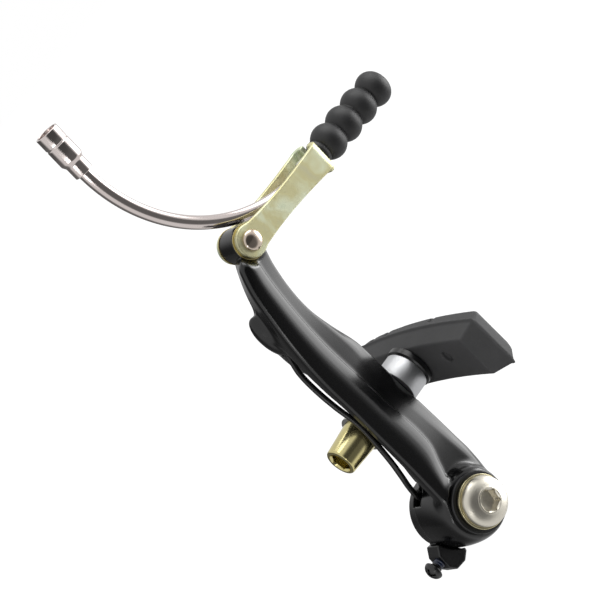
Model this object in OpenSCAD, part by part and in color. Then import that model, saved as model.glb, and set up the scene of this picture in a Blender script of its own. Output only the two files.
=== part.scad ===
// One arm of a linear-pull rim brake, the noodle side, with its pad, link, noodle and boot.
// Millimetres. The origin lies on the pivot axis, in the plane of the frame boss's shoulder.
// +Z runs up the arm, +X points to the rim, and -Y faces the rider's view of the pivot bolt.

/* [Arm] */
// Distance from the pivot axis to the link rivet
arm_len = 85; // [80:1:107]
// How far the link rivet lies towards the rim
rivet_x = 8.9; // [6:0.1:11]
// Front face of the arm's rib
rib_front_y = -17.2; // [-18:0.1:-16.8]
// Depth of the step from the rib down to the inner flank
rib_step = 2.6; // [1.5:0.1:3.2]
// Rear face of the arm's lower web
web_rear_y = -2.6; // [-4:0.1:-2]
// Radius of the pivot boss at its wide rear end
boss_r = 10.1; // [9.8:0.1:11]
// Radius of the pivot boss at its front rim
boss_front_r = 7.9; // [7.4:0.1:8.4]
// Rear face of the pivot boss
boss_rear_y = -4.1; // [-5:0.1:-4]
// Radius of the arm's top boss
top_boss_r = 4.4; // [4:0.1:4.5]
// Thickness of the arm's top boss
top_boss_t = 7; // [6:0.1:8]
// Middle plane of the arm's top, the link and the noodle
mid_y = -10.5; // [-11:0.1:-10]

/* [Pivot] */
// Radius of the bore that takes the frame's boss
pivot_bore_r = 4.05; // [3.5:0.05:4.2]
// Length of the bush's plain rear land
land_len = 9; // [6:0.5:9]
// Outer radius of the steel bush
bush_r = 5; // [4.8:0.1:5.4]
// How far the bush stands out in front of the sleeve's collar
end_play = 0.4; // [0.3:0.1:1]
// Outer radius of the bearing sleeve
sleeve_r = 6; // [5.8:0.1:6.4]
// Radius of the bearing sleeve's front collar
collar_r = 7.8; // [7.2:0.1:8]
// Thickness of the bearing sleeve's front collar
collar_t = 1.1; // [0.8:0.1:1.1]
// Radius of the pivot bolt's head
bolt_head_r = 6.3; // [5.5:0.1:6.5]
// Height of the pivot bolt's head
bolt_head_h = 3.4; // [3:0.1:4]
// Radius of the pivot bolt's thread
bolt_r = 3; // [2.8:0.1:3]
// Length of the pivot bolt under its head
bolt_len = 10; // [8:0.5:10]
// Width across the flats of the hexagon sockets
hex_af = 5; // [4:0.5:5]
// Radius of the washer under the bolt's head
bolt_washer_r = 6.8; // [6.4:0.1:7]
// Thickness of the washer under the bolt's head
bolt_washer_t = 1; // [0.8:0.1:1.2]

/* [Spring] */
// Radius of the return spring's wire
wire_r = 0.75; // [0.6:0.05:0.8]
// Mean radius of the return spring's coil
coil_r = 7; // [6.8:0.1:7.2]
// Number of turns in the coil
coil_turns = 2.25; // [1.25:1:3.25]
// Outer radius of the spring housing
housing_r = 9.6; // [9.3:0.1:9.8]
// Wall of the spring housing
housing_wall = 1.2; // [1:0.1:1.3]
// Radius of the peg that enters the frame's spring hole
peg_r = 1.2; // [1:0.1:1.4]
// Length of that peg behind the housing
peg_len = 3; // [2:0.1:4]
// Radius of the tension screw's thread
screw_r = 1.5; // [1.25:0.05:1.5]
// Length of the tension screw under its head
screw_len = 6.4; // [5:0.1:6.5]
// Radius of the tension screw's head
screw_head_r = 2.5; // [2.2:0.1:2.8]

/* [Link] */
// Distance from the rivet to the outer face of the link's end plate
link_len = 31.1; // [28:0.5:36]
// Thickness of the link's sheet
sheet_t = 1.4; // [1.2:0.1:1.6]
// Gap between the link's two legs
leg_gap = 7.8; // [7.8:0.1:9]
// Radius of the rounded end of each leg
leg_end_r = 4.2; // [3.8:0.1:4.3]
// Half width of a leg at its waist
leg_waist = 3.05; // [2.6:0.05:3.4]
// Half width of a leg at the end plate
leg_nose = 4; // [3.6:0.1:4.4]
// How far the link dips below level
link_dip = 2.5; // [0:0.5:4]
// Radius of the link rivet's shaft
rivet_r = 2; // [1.8:0.1:2.2]
// Radius of the link rivet's domed heads
rivet_head_r = 2.6; // [2.5:0.1:3]

/* [Noodle] */
// Outer radius of the noodle's tube
noodle_r = 1.72; // [1.5:0.01:1.75]
// Wall of the noodle's tube
noodle_wall = 0.45; // [0.35:0.05:0.5]
// Radius of the noodle's bend
bend_r = 40.8; // [38:0.1:44]
// Distance from the rivet to where the bend starts
bend_start = 23.9; // [23:0.1:25]
// Straight length after the bend
noodle_tail = 3; // [2:0.5:8]
// Radius of the bore that takes the cable's outer casing
casing_r = 2.55; // [2.5:0.05:2.6]
// Depth of the bore that takes the cable's outer casing
casing_depth = 8; // [6:0.5:10]

/* [Boot] */
// Largest radius of the boot's bulges
boot_r = 4.75; // [4.4:0.05:5]
// Radius of the boot's valleys
boot_valley_r = 3.15; // [3:0.05:3.3]
// Length of one bulge
boot_pitch = 6.4; // [5.5:0.1:7]
// Number of bulges
boot_bulges = 4; // [3:1:5]
// Wall of the boot
boot_wall = 1; // [0.8:0.05:1.1]

/* [Pad] */
// Height of the pad post above the pivot
post_z = 31.2; // [29:0.1:33]
// Depth of the pad post's axis
post_y = -7.7; // [-8:0.1:-7.5]
// Radius of the pad post
post_r = 2.95; // [2.8:0.05:2.95]
// Length of the slot that the post slides in
slot_len = 14; // [12:0.5:16]
// Radius of the wheel rim that the pad follows
rim_r = 203; // [180:1:311]
// Length of the pad in front of its post
pad_front = 27.5; // [24:0.5:30]
// Length of the pad behind its post
pad_rear = 29.5; // [26:0.5:34]
// Height of the pad's back face
pad_back_h = 12; // [11:0.5:13]
// Height of the pad at its mould line
pad_wide_h = 15.6; // [14:0.1:17]
// Height of the pad's braking face
pad_face_h = 11.6; // [10:0.1:13]
// Depth from the back face to the mould line
pad_shoe_t = 5.6; // [5:0.1:6.5]
// Depth of the friction block beyond the mould line
pad_block_t = 5; // [4:0.1:6]
// Depth of the grooves in the braking face
groove_depth = 2.4; // [1.5:0.1:3]
// Length of the bright spacer
spacer_t = 5.7; // [5:0.1:7]
// Outer radius of the bright spacer
spacer_r = 5.7; // [5.4:0.1:6]
// Thickness of each domed or cupped washer
dome_t = 1.8; // [1.6:0.1:2]
// Outer radius of the pad nut at its base
nut_base_r = 4.6; // [4.3:0.1:4.6]
// Outer radius of the pad nut at its end
nut_end_r = 3.95; // [3.8:0.05:4.1]
// Length of the pad nut
nut_len = 9.3; // [8.5:0.1:10]

/* [Hidden] */

// Facets of a full turn, which stay true circles
$fn = 64;
// Play of a turning fit, on the radius
run_play = 0.05;
// Gap between faces that pass each other
face_gap = 0.3;
// A cut runs this far past the face that it opens
past = 1;

rivet_z = sqrt(arm_len * arm_len - rivet_x * rivet_x);
top_front_y = mid_y - top_boss_t / 2;
top_rear_y = mid_y + top_boss_t / 2;
leg_in_front = mid_y - leg_gap / 2;
leg_in_rear = mid_y + leg_gap / 2;
leg_out_front = leg_in_front - sheet_t;
leg_out_rear = leg_in_rear + sheet_t;
link_w = leg_gap + 2 * sheet_t;
boss_front_y = rib_front_y + 0.1;
coil_pocket_r = coil_r + wire_r + 0.55;
coil_pocket_y = boss_rear_y - 3.3;
housing_front_y = boss_rear_y + face_gap;
housing_rear_y = -face_gap;
housing_floor_t = 1;
peg_z = 7.2;
bush_len = collar_t + end_play - boss_front_y;
bush_front_y = -bush_len;
washer_front_y = bush_front_y - bolt_washer_t;
seat_out_x = 1.6;
seat_in_x = 11.2;
pad_back_x = seat_in_x + spacer_t + dome_t + 0.2;
axle_z = post_z - 1.3 - rim_r;

// A point on a smooth curve through hand-set stations, t from 0 to 1
function clampi(i, n) = max(0, min(n - 1, i));
function curve(s, t) =
    let (n = len(s), p = t * (n - 1), i = min(floor(p), n - 2), u = p - i,
        a = s[clampi(i - 1, n)], b = s[i], c = s[i + 1], d = s[clampi(i + 2, n)])
    0.5 * (2 * b + (c - a) * u + (2 * a - 5 * b + 4 * c - d) * u * u
        + (3 * b - a - 3 * c + d) * u * u * u);

// Turns a shape drawn round Z so that it lies round Y or round X
module round_y() {
    rotate([-90, 0, 0]) children();
}
module round_x() {
    rotate([0, 90, 0]) children();
}
// The link's own frame: X along the link from the rivet, Z across it
module at_link() {
    translate([rivet_x, mid_y, rivet_z]) rotate([0, link_dip, 0]) children();
}
module at_post() {
    translate([0, post_y, post_z]) round_x() children();
}
module tube_of(r_out, r_in, len) {
    difference() {
        cylinder(r = r_out, h = len);
        translate([0, 0, -past]) cylinder(r = r_in, h = len + 2 * past);
    }
}
module hexagon(af, h) {
    cylinder(r = af / sqrt(3), h = h, $fn = 6);
}
// Closed skin through rings that have the same number of points
module skin(rings) {
    m = len(rings[0]);
    n = len(rings);
    points = [for (r = rings) each r];
    sides = [for (i = [0 : n - 2]) for (j = [0 : m - 1])
        let (k = (j + 1) % m)
        each [[i * m + j, (i + 1) * m + j, (i + 1) * m + k],
            [i * m + j, (i + 1) * m + k, i * m + k]]];
    ends = [[for (j = [0 : m - 1]) j], [for (j = [0 : m - 1]) n * m - 1 - j]];
    polyhedron(points = points, faces = concat(sides, ends));
}

// Stations up the arm: height as a share of the rivet's, outer edge, rib edge, inner edge,
// width of the inner bevel, web's outer face, rear of the outer lip, rear of the web, draft
arm_stations = [
    [-0.06, -4.6, -0.6, 7.0, 1.2, -2.4, -13.4, -5.4, 0],
    [0.01, -6.0, -1.4, 10.6, 1.6, -2.8, -13.4, -5.2, 0],
    [0.085, -6.3, -1.5, 11.6, 2.1, -2.9, -13.5, -4.9, 0],
    [0.15, -6.1, 0.4, 11.6, 2.5, -2.3, -13.6, -4.3, 0],
    [0.21, -5.9, 2.4, 11.6, 2.9, -0.9, -13.9, -3.2, 0],
    [0.28, -5.8, 2.9, 11.5, 3.3, 0.6, -14.1, web_rear_y, 0],
    [0.38, -5.7, 2.5, seat_in_x + 0.2, 3.7, 1.5, -14.2, web_rear_y, 0],
    [0.47, -5.6, 2.4, seat_in_x + 0.1, 3.7, 1.2, -14.0, web_rear_y, 0],
    [0.56, -5.7, 2.1, 11.1, 2.6, -0.6, -13.4, -3.1, 0],
    [0.65, -5.3, 2.1, 9.5, 1.4, -3.0, -12.4, -4.2, 0.1],
    [0.74, -4.4, 2.6, 8.4, 0.9, -3.4, -11.2, -5.4, 0.3],
    [0.82, -3.2, 3.4, 8.8, 0.8, -1.2, -10.2, -6.4, 1.0],
    [0.9, -1.7, 4.5, 10.3, 0.8, 1.3, -9.4, -7.0, 2.1],
    [0.96, 0.2, 5.9, 12.2, 0.8, 4.0, -9.4, -7.2, 2.9],
    [0.99, 1.7, 6.9, 12.7, 0.8, 5.8, -9.4, -7.3, 3.3]];

// One section of the arm: a crowned rib, a groove, the satin flank, a bevel and the web
function arm_section(s) =
    let (z = s[0] * rivet_z, xo = s[1], xr = s[2], xi = s[3], xb = s[3] - s[4], xw = s[5],
        yl = s[6], yr = s[7], xl = s[1] + s[8], f = rib_front_y, g = rib_front_y + rib_step)
    [for (p = [
        [(xo + xr) / 2, f - 0.25], [xr - 1.2, f], [xr + 0.1, f + 0.7], [xr + 0.7, g - 0.8],
        [xr + 1.3, g], [(xr + xb) / 2 + 0.65, g + 0.6], [xb, g + 1.1], [xi - 0.3, f + 5.2],
        [xi, f + 6.2], [xi - 0.4, yr - 1.2], [xi - 1.8, yr], [xw + 1.3, yr],
        [xw + 0.1, yr - 1], [xw - 0.1, yl + 0.6], [xl + 0.5, yl], [xl + 0.05, yl - 0.5],
        [xo, f + 2.1], [xo + 0.2, f + 1.3], [xo + 0.9, f + 0.6], [xo + 2.2, f + 0.1]])
        [p[0], p[1], z]];

// The bell outline of the pivot boss, as radius against Y, round to the front rim
function boss_outline(n) =
    [for (i = [0 : n]) let (a = 90 * i / n)
        [boss_front_r + (boss_r - boss_front_r) * sin(a),
            boss_front_y + 0.2 + (boss_rear_y - boss_front_y - 2.6) * (1 - cos(a))]];

module pivot_boss() {
    round_y() rotate_extrude() polygon(concat(
        [[0, boss_front_y - 0.5], [boss_front_r - 0.4, boss_front_y - 0.5]],
        boss_outline(10), [[boss_r, boss_rear_y], [0, boss_rear_y]]));
}

// Ear on the outer side of the arm that holds the upper end of the spring
lug_x = -2.9;
lug_y = -8.7;
lug_z = 0.775 * rivet_z;
lug_half = 5.6;
lug_r = 2.5;
module spring_lug() {
    translate([lug_x, lug_y, lug_z]) rotate_extrude()
        polygon(concat([[0, -lug_half]],
            [for (i = [1 : 9]) let (a = -90 + 18 * i) [lug_r * cos(a), lug_half * sin(a)]],
            [[0, lug_half]]));
}

// Outline of the post's slot, round at both ends
function slot_outline(r, len) = [for (side = [1, -1]) for (i = [0 : 12])
    let (a = 90 - 90 * side + 15 * i) [r * cos(a), side * (len / 2 - r) + r * sin(a)]];

module brake_arm() {
    link_sweep_r = leg_end_r + 0.6;
    seat_r = spacer_r + 0.7;
    slot_r = post_r + 0.35;
    color("#1b1b1c") difference() {
        union() {
            difference() {
                skin([for (i = [0 : 21]) arm_section(curve(arm_stations, i / 21))]);
                // Room for the spring housing behind the boss
                translate([0, boss_rear_y, 0]) round_y()
                    cylinder(r = housing_r + 0.5, h = -boss_rear_y + past);
                // Flared shoulder round the link's end
                translate([rivet_x, rib_front_y - past, rivet_z]) round_y()
                    cylinder(r1 = link_sweep_r + 2.6, r2 = link_sweep_r,
                        h = top_front_y + 0.2 - rib_front_y + past);
            }
            spring_lug();
            pivot_boss();
            translate([rivet_x, top_front_y, rivet_z]) round_y()
                cylinder(r = top_boss_r, h = top_boss_t);
        }
        // Front face of the boss, which the sleeve's collar lies on
        translate([0, boss_front_y - 3, 0]) round_y() cylinder(r = boss_front_r + 0.4, h = 3);
        translate([0, boss_front_y - past, 0]) round_y()
            cylinder(r = sleeve_r, h = bush_len);
        translate([0, coil_pocket_y, 0]) round_y()
            cylinder(r = coil_pocket_r, h = -coil_pocket_y);
        translate([rivet_x, top_front_y - past, rivet_z]) round_y()
            cylinder(r = rivet_r + run_play, h = top_boss_t + 2 * past);
        // Slot for the post, and a flat seat for the washers on each side
        translate([-10, post_y, post_z]) rotate([90, 0, 90]) linear_extrude(height = 30)
            polygon(slot_outline(slot_r, slot_len));
        at_post() translate([0, 0, seat_out_x - 12]) cylinder(r = seat_r, h = 12);
        at_post() translate([0, 0, seat_in_x]) cylinder(r = seat_r, h = 12);
        // Hole in the ear with a lead below it, and the notch where the spring leaves the boss
        translate([lug_x, lug_y, lug_z - lug_half - past])
            cylinder(r = wire_r + 0.2, h = lug_half + past + 1.5);
        translate([lug_x, lug_y, lug_z - lug_half]) rotate([-8, 19, 0]) translate([0, 0, -7.5])
            cylinder(r = wire_r + 0.65, h = 7.6);
        translate([-6.4, boss_rear_y - 2.9, 3.4]) cube([4.6, 5, 8]);
    }
}

module bearing_sleeve() {
    front = boss_front_y - collar_t;
    color("#2a2a2b") round_y() difference() {
        rotate_extrude() polygon([
            [bush_r + run_play, front], [collar_r - 0.5, front],
            [collar_r - 0.12, front + 0.2], [collar_r, front + 0.6],
            [collar_r, boss_front_y], [sleeve_r, boss_front_y],
            [sleeve_r, coil_pocket_y - 0.2], [bush_r + run_play, coil_pocket_y - 0.2]]);
    }
}

// Wall at the bush's front end, which the bolt's plain neck passes
web_t = 2.6;
// The bush has two lands, parted by a relief that keeps the bolt off the frame's boss
module pivot_bush() {
    relief = pivot_bore_r + 0.25;
    color("#c9c6bd") round_y() rotate_extrude() polygon([
        [pivot_bore_r, 0], [bush_r - 0.3, 0], [bush_r, -0.3], [bush_r, bush_front_y + 0.3],
        [bush_r - 0.3, bush_front_y], [bolt_r + 0.45, bush_front_y],
        [bolt_r + 0.45, bush_front_y + web_t], [relief, bush_front_y + web_t],
        [relief, -land_len], [pivot_bore_r, -land_len]]);
}

module bolt_washer() {
    color("#c8b264") translate([0, washer_front_y, 0]) round_y()
        difference() {
            cylinder(r = bolt_washer_r, h = bolt_washer_t);
            translate([0, 0, -past]) cylinder(r = bolt_r + 0.5, h = 3 * past);
        }
}

module pivot_bolt() {
    rim_h = 0.9;
    lip_r = 3.35;
    dome = bolt_head_h - rim_h;
    neck_end = bolt_washer_t + web_t + 0.1;
    color("#bdb6a8") difference() {
        translate([0, washer_front_y, 0]) round_y() rotate_extrude() polygon(concat(
            [[0, bolt_len], [bolt_r - 0.5, bolt_len], [bolt_r, bolt_len - 0.5],
                [bolt_r, neck_end + 0.25], [bolt_r + 0.25, neck_end],
                [bolt_r + 0.25, 0], [bolt_head_r, 0], [bolt_head_r, -rim_h]],
            [for (i = [1 : 7]) let (a = 9.5 * i)
                [bolt_head_r - (bolt_head_r - lip_r) * (1 - cos(a)) * 1.6,
                    -rim_h - (dome - 0.25) * sin(a) / sin(66.5)]],
            [[lip_r, -bolt_head_h + 0.3], [lip_r - 0.1, -bolt_head_h], [0, -bolt_head_h]]));
        translate([0, washer_front_y - bolt_head_h - past, 0]) round_y() rotate([0, 0, 14])
            hexagon(hex_af, 2.9 + past);
    }
}

// The tension screw's axis: it lies across the housing's ear and dips to the rim side
screw_y = -3.5;
screw_head_pos = [-14.8, screw_y, -6.25];
screw_dip = 4.4;
module at_screw() {
    translate(screw_head_pos) rotate([0, screw_dip, 0]) round_x() children();
}

module spring_housing() {
    ear = [[-5.4, -7.6], [-5.9, -9.4], [-8.2, -10.7], [-11.2, -10.3], [-12.6, -8.3],
        [-12.4, -4.6], [-10.6, -2.4], [-8.2, -3.0]];
    ear_front_y = -6;
    color("#242425") difference() {
        union() {
            round_y() rotate_extrude() polygon([
                [bush_r, housing_rear_y], [housing_r - 0.4, housing_rear_y],
                [housing_r, housing_rear_y - 0.4], [housing_r, housing_front_y],
                [housing_r - housing_wall, housing_front_y],
                [housing_r - housing_wall, housing_rear_y - housing_floor_t],
                [bush_r, housing_rear_y - housing_floor_t]]);
            difference() {
                translate([0, housing_rear_y - 0.1, 0]) rotate([90, 0, 0])
                    linear_extrude(height = housing_rear_y - 0.1 - ear_front_y)
                    polygon(ear);
                translate([0, ear_front_y - past, 0]) round_y()
                    cylinder(r = boss_r + face_gap, h = housing_front_y - ear_front_y + past);
                translate([0, housing_front_y - past, 0]) round_y()
                    cylinder(r = housing_r - 0.3, h = -housing_front_y + past);
            }
            translate([0, housing_rear_y - 0.5, peg_z]) round_y()
                cylinder(r = peg_r, h = peg_len + 0.5);
        }
        at_screw() translate([0, 0, -past]) cylinder(r = screw_r + run_play, h = 12);
        // Way out for the spring's leg
        translate([-6.2, housing_front_y - past, 5.2]) cube([3.8, past + 1.2, 6]);
    }
}

// Hand-set points of the spring's leg: out of the boss, up past the pad nut under the arm's
// lip, and into the ear
spring_leg = [[-4.3, -4.95, 8.7], [-4.9, -6.6, 12.6], [-5.6, -9.6, 17], [-5.95, -12, 21.8],
    [-5.9, -13.1, 26.4], [-5.5, -13.25, 31.2], [-5.3, -13.0, 36], [-5.6, -11.9, 42],
    [-5.5, -10.8, 48], [-4.7, -9.6, 53.5], [lug_x, lug_y, lug_z - lug_half - 1],
    [lug_x, lug_y, lug_z + 0.5]];
function unit(v) = v / norm(v);
function ring_at(p, t, r, m) =
    let (u = unit(cross(t, [0, 1, 0.02])), v = cross(u, t))
    [for (j = [0 : m - 1]) let (a = -360 * j / m) p + r * (cos(a) * u + sin(a) * v)];
function path_rings(path, r, m) =
    let (n = len(path))
    [for (i = [0 : n - 1])
        ring_at(path[i], unit(path[min(i + 1, n - 1)] - path[max(i - 1, 0)]), r, m)];

module return_spring() {
    steps = 15;
    coil_end = 118;
    coil_rise = 3.3 / coil_turns;
    n = round(coil_turns * steps);
    coil = [for (i = [0 : n]) let (a = coil_end + 360 * (i - n) / steps)
        [coil_r * cos(a), -2.25 + (-coil_rise) * i / steps, coil_r * sin(a)]];
    leg = [for (i = [1 : 24]) curve(concat([coil[n]], spring_leg), i / 24)];
    color("#1d1d1e") skin(path_rings(concat(coil, leg), wire_r, 8));
}

module tension_screw() {
    head_h = 1.9;
    color("#161617") difference() {
        at_screw() rotate_extrude() polygon(concat(
            [[0, screw_len], [screw_r - 0.3, screw_len], [screw_r, screw_len - 0.3],
                [screw_r, 0], [screw_head_r, 0], [screw_head_r, -0.5]],
            [for (i = [1 : 5]) let (a = 15 * i)
                [screw_head_r * cos(a), -0.5 - (head_h - 0.5) * sin(a)]],
            [[0, -head_h]]));
        for (turn = [20, 110]) at_screw() rotate([0, 0, turn]) translate([-1.4, -0.3, -head_h - past])
            cube([2.8, 0.6, past + 1.1]);
    }
}

// Half width of a link's leg at a distance u from the rivet
function leg_half(u) = leg_waist + (leg_nose - leg_waist) * pow(max(0, u - 13) / (link_len - 13), 2)
    + 0.9 * pow(max(0, 13 - u) / 13, 2);
keyhole_r = noodle_r + 0.25;
keyhole_slot = 1.5;
module noodle_link() {
    // Where the rounded end runs into the straight edges
    meet = leg_end_r * cos(68);
    edge = [for (i = [0 : 12]) let (u = meet + (link_len - meet) * i / 12) [u, leg_half(u)]];
    fold_out = 2.3;
    fold_in = fold_out - sheet_t;
    color("#c3cba6") at_link() difference() {
        intersection() {
            union() {
                translate([0, -link_w / 2, 0]) round_y() cylinder(r = leg_end_r, h = link_w);
                translate([0, link_w / 2, 0]) rotate([90, 0, 0]) linear_extrude(height = link_w)
                    polygon(concat(edge, [for (i = [12 : -1 : 0]) [edge[i][0], -edge[i][1]]]));
                // Tongue below the end plate
                translate([link_len - sheet_t, -link_w / 2, -leg_nose - 0.9])
                    cube([sheet_t, link_w, 3]);
            }
            translate([0, 0, -10]) linear_extrude(height = 20) difference() {
                union() {
                    translate([-10, -link_w / 2]) square([10 + link_len - fold_out, link_w]);
                    translate([0, -link_w / 2 + fold_out])
                        square([link_len, link_w - 2 * fold_out]);
                    for (side = [-1, 1])
                        translate([link_len - fold_out, side * (link_w / 2 - fold_out)])
                            circle(r = fold_out);
                }
                translate([-20, -leg_gap / 2]) square([20 + link_len - fold_out, leg_gap]);
                translate([0, -leg_gap / 2 + fold_in])
                    square([link_len - sheet_t, leg_gap - 2 * fold_in]);
                for (side = [-1, 1])
                    translate([link_len - sheet_t - fold_in, side * (leg_gap / 2 - fold_in)])
                        circle(r = fold_in);
            }
        }
        translate([0, -link_w, 0]) round_y() cylinder(r = rivet_r, h = 2 * link_w);
        // Keyhole that the noodle hooks into, open at the top
        translate([link_len - 5, 0, 0]) round_x() cylinder(r = keyhole_r, h = 8);
        translate([link_len - 5, -keyhole_slot, 0]) cube([8, 2 * keyhole_slot, 10]);
    }
}

module link_washers() {
    t = top_front_y - leg_in_front - 0.1;
    color("#c9bf92") for (y = [leg_in_front + 0.05, top_rear_y + 0.05])
        translate([rivet_x, y, rivet_z]) round_y() tube_of(leg_end_r + 0.3, rivet_r, t);
}

module link_rivet() {
    head_h = 1.3;
    half = link_w / 2;
    color("#c8bfae") translate([rivet_x, mid_y, rivet_z]) round_y() rotate_extrude()
        polygon(concat(
            [[0, -half - head_h]],
            [for (i = [1 : 8]) let (a = 90 - 10 * i)
                [rivet_head_r * cos(a), -half - 0.25 - (head_h - 0.25) * sin(a)]],
            [[rivet_head_r, -half - 0.25], [rivet_head_r, -half], [rivet_r, -half],
                [rivet_r, half], [rivet_head_r, half], [rivet_head_r, half + 0.25]],
            [for (i = [8 : -1 : 1]) let (a = 90 - 10 * i)
                [rivet_head_r * cos(a), half + 0.25 + (head_h - 0.25) * sin(a)]],
            [[0, half + head_h]]));
}

nose_shoulder_r = 2.5;
nose_len = 4.2;
nose_tip = link_len + nose_len;
tube_in_nose = link_len - 2.2;
module noodle_nose() {
    plate_in = link_len - sheet_t;
    color("#d8d6d0") at_link() round_x() rotate_extrude() polygon([
        [noodle_r, bend_start + 1.4], [nose_shoulder_r - 0.4, bend_start + 1.4],
        [nose_shoulder_r, bend_start + 1.9], [nose_shoulder_r, plate_in - 0.05],
        [keyhole_r - 0.15, plate_in - 0.05], [keyhole_r - 0.15, nose_tip - 0.4],
        [keyhole_r - 0.5, nose_tip], [noodle_r - noodle_wall - 0.2, nose_tip],
        [noodle_r - noodle_wall - 0.2, tube_in_nose], [noodle_r, tube_in_nose]]);
}

// The noodle's axis: straight, a quarter bend, and straight up
module along_noodle(r_out, r_in, start_u, tail) {
    translate([bend_start, 0, 0]) round_x() tube_of(r_out, r_in, start_u - bend_start);
    translate([bend_start, 0, bend_r]) rotate([90, 0, 0]) rotate([0, 0, 180])
        rotate_extrude(angle = 90) translate([bend_r, 0]) difference() {
            circle(r = r_out);
            circle(r = r_in);
        }
    translate([bend_start - bend_r, 0, bend_r]) tube_of(r_out, r_in, tail);
}
module noodle_tube() {
    color("#cfc8c2") at_link()
        along_noodle(noodle_r, noodle_r - noodle_wall, tube_in_nose, noodle_tail);
}
liner_r = noodle_r - noodle_wall - 0.05;
module noodle_liner() {
    color("#e9e7e0") at_link()
        along_noodle(liner_r, liner_r - 0.35, tube_in_nose - 0.1, noodle_tail + 0.5);
}
module noodle_ferrule() {
    grip = 4;
    top = grip + casing_depth + 1;
    r_out = casing_r + 0.55;
    color("#c9c7c3") at_link()
        translate([bend_start - bend_r, 0, bend_r + noodle_tail - grip]) rotate_extrude()
        polygon([[noodle_r, 0], [noodle_r + 0.5, 0], [noodle_r + 0.8, 0.3],
            [noodle_r + 0.8, grip - 0.6], [r_out, grip + 0.4], [r_out, top - 0.3],
            [r_out - 0.25, top], [casing_r, top], [casing_r, grip + 1],
            [liner_r + 0.1, grip + 1], [liner_r + 0.1, grip], [noodle_r, grip]]);
}

// Outer radius of the boot at a distance s from its root: round bulges and sharp valleys
function boot_out(s) = boot_valley_r
    + (boot_r - boot_valley_r) * pow(abs(sin(180 * s / boot_pitch)), 0.75);
module cable_boot() {
    root_u = link_len + face_gap;
    lead = 1.7;
    tip = lead + boot_bulges * boot_pitch;
    n = 10 * boot_bulges;
    grip_r = keyhole_r - 0.15 + run_play;
    // The last bulge closes in to a small mouth
    function out(s) = s < tip - boot_pitch / 2 ? boot_out(s - lead)
        : 1.6 + (boot_r - 1.6) * sqrt(max(0, 1 - pow((s - tip + boot_pitch / 2) / (boot_pitch / 2), 2)));
    outer = [for (i = [0 : n]) let (s = lead + (tip - lead) * i / n) [out(s), s]];
    inner = [for (i = [n : -1 : 0]) let (s = lead + (tip - lead) * i / n)
        if (s > nose_len + 0.4 && s < tip - 0.6) [max(1.1, out(s) - boot_wall), s]];
    color("#232324") at_link() translate([root_u, 0, 0]) round_x() rotate_extrude()
        polygon(concat([[grip_r, 0], [boot_valley_r + 0.2, 0], [boot_valley_r + 0.35, 0.5]], outer,
            [[1.1, tip]], inner,
            [[max(1.1, out(nose_len + 0.4) - boot_wall), nose_len + 0.2], [grip_r, nose_len]]));
}

// The pad's section, radius from the wheel's axle against depth towards the rim
pad_mid = axle_z + rim_r;
function pad_section() =
    let (b = pad_back_h / 2, w = pad_wide_h / 2, f = pad_face_h / 2,
        x1 = pad_shoe_t, x2 = pad_shoe_t + pad_block_t)
    [[-b + 0.5, 0], [b - 0.5, 0], [b, 0.5], [w - 0.5, x1 - 0.7], [w, x1 - 0.2], [w, x1 + 0.2],
        [w - 0.9, x1 + 0.5], [f + 0.5, x2 - 0.9], [f - 0.4, x2], [-f + 0.4, x2],
        [-f - 0.5, x2 - 0.9], [-w + 0.9, x1 + 0.5], [-w, x1 + 0.2], [-w, x1 - 0.2],
        [-w + 0.5, x1 - 0.7], [-b, 0.5]];
module round_axle(front, rear) {
    deg_front = front / rim_r * 180 / PI;
    deg_rear = rear / rim_r * 180 / PI;
    translate([pad_back_x, post_y, axle_z]) rotate([0, 90, 0]) rotate([0, 0, 180 - deg_front])
        rotate_extrude(angle = deg_front + deg_rear, $fn = 360) children();
}
module backing_plate(grow) {
    round_axle(pad_front - 5, pad_rear - 5)
        translate([rim_r - 3.6 - grow, 1.6 - grow]) square([7.2 + 2 * grow, 1.4 + 2 * grow]);
}
module brake_pad() {
    x1 = pad_shoe_t;
    x2 = pad_shoe_t + pad_block_t;
    // Plan outline: the ends slope out to the mould line and round back to the braking face
    plan = [[0, -pad_front + 1.2], [x1 - 0.4, -pad_front - 0.8], [x1 + 0.4, -pad_front - 0.8],
        [x2 - 1.8, -pad_front + 1.6], [x2, -pad_front + 4], [x2, pad_rear - 4],
        [x2 - 1.8, pad_rear - 1.6], [x1 + 0.4, pad_rear + 0.8], [x1 - 0.4, pad_rear + 0.8],
        [0, pad_rear - 1.2]];
    grooves = [-7.6, 14.3, 22.4];
    color("#333334") difference() {
        intersection() {
            round_axle(pad_front + 2, pad_rear + 2) translate([rim_r, 0]) polygon(pad_section());
            translate([pad_back_x, post_y, pad_mid - 15]) linear_extrude(height = 25) polygon(plan);
        }
        for (y = grooves) translate([pad_back_x + x2 - groove_depth, post_y + y, pad_mid - 15])
            cube([groove_depth + past, 1.5, 30]);
        backing_plate(0.02);
        at_post() cylinder(r = post_r + 0.02, h = pad_back_x + 2);
        // Blind moulding hole in the back face
        translate([pad_back_x - past, post_y - 15.8, pad_mid + 0.6]) round_x()
            cylinder(r = 1.65, h = past + 1.3);
    }
}

nut_base_x = -4.2;
flat_t = 1;
module pad_post() {
    tip_x = nut_base_x - 4.4;
    color("#b9b7b0") union() {
        backing_plate(0);
        at_post() translate([0, 0, tip_x]) cylinder(r = post_r, h = pad_back_x + 2 - tip_x);
    }
}

// Spherical washer pairs: a domed washer of one ball radius seats in a ring hollowed to match
ball_r = 9;
hole_r = post_r + 0.25;
cup_lip = 0.25;
function sag(r) = sqrt(ball_r * ball_r - r * r);
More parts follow.
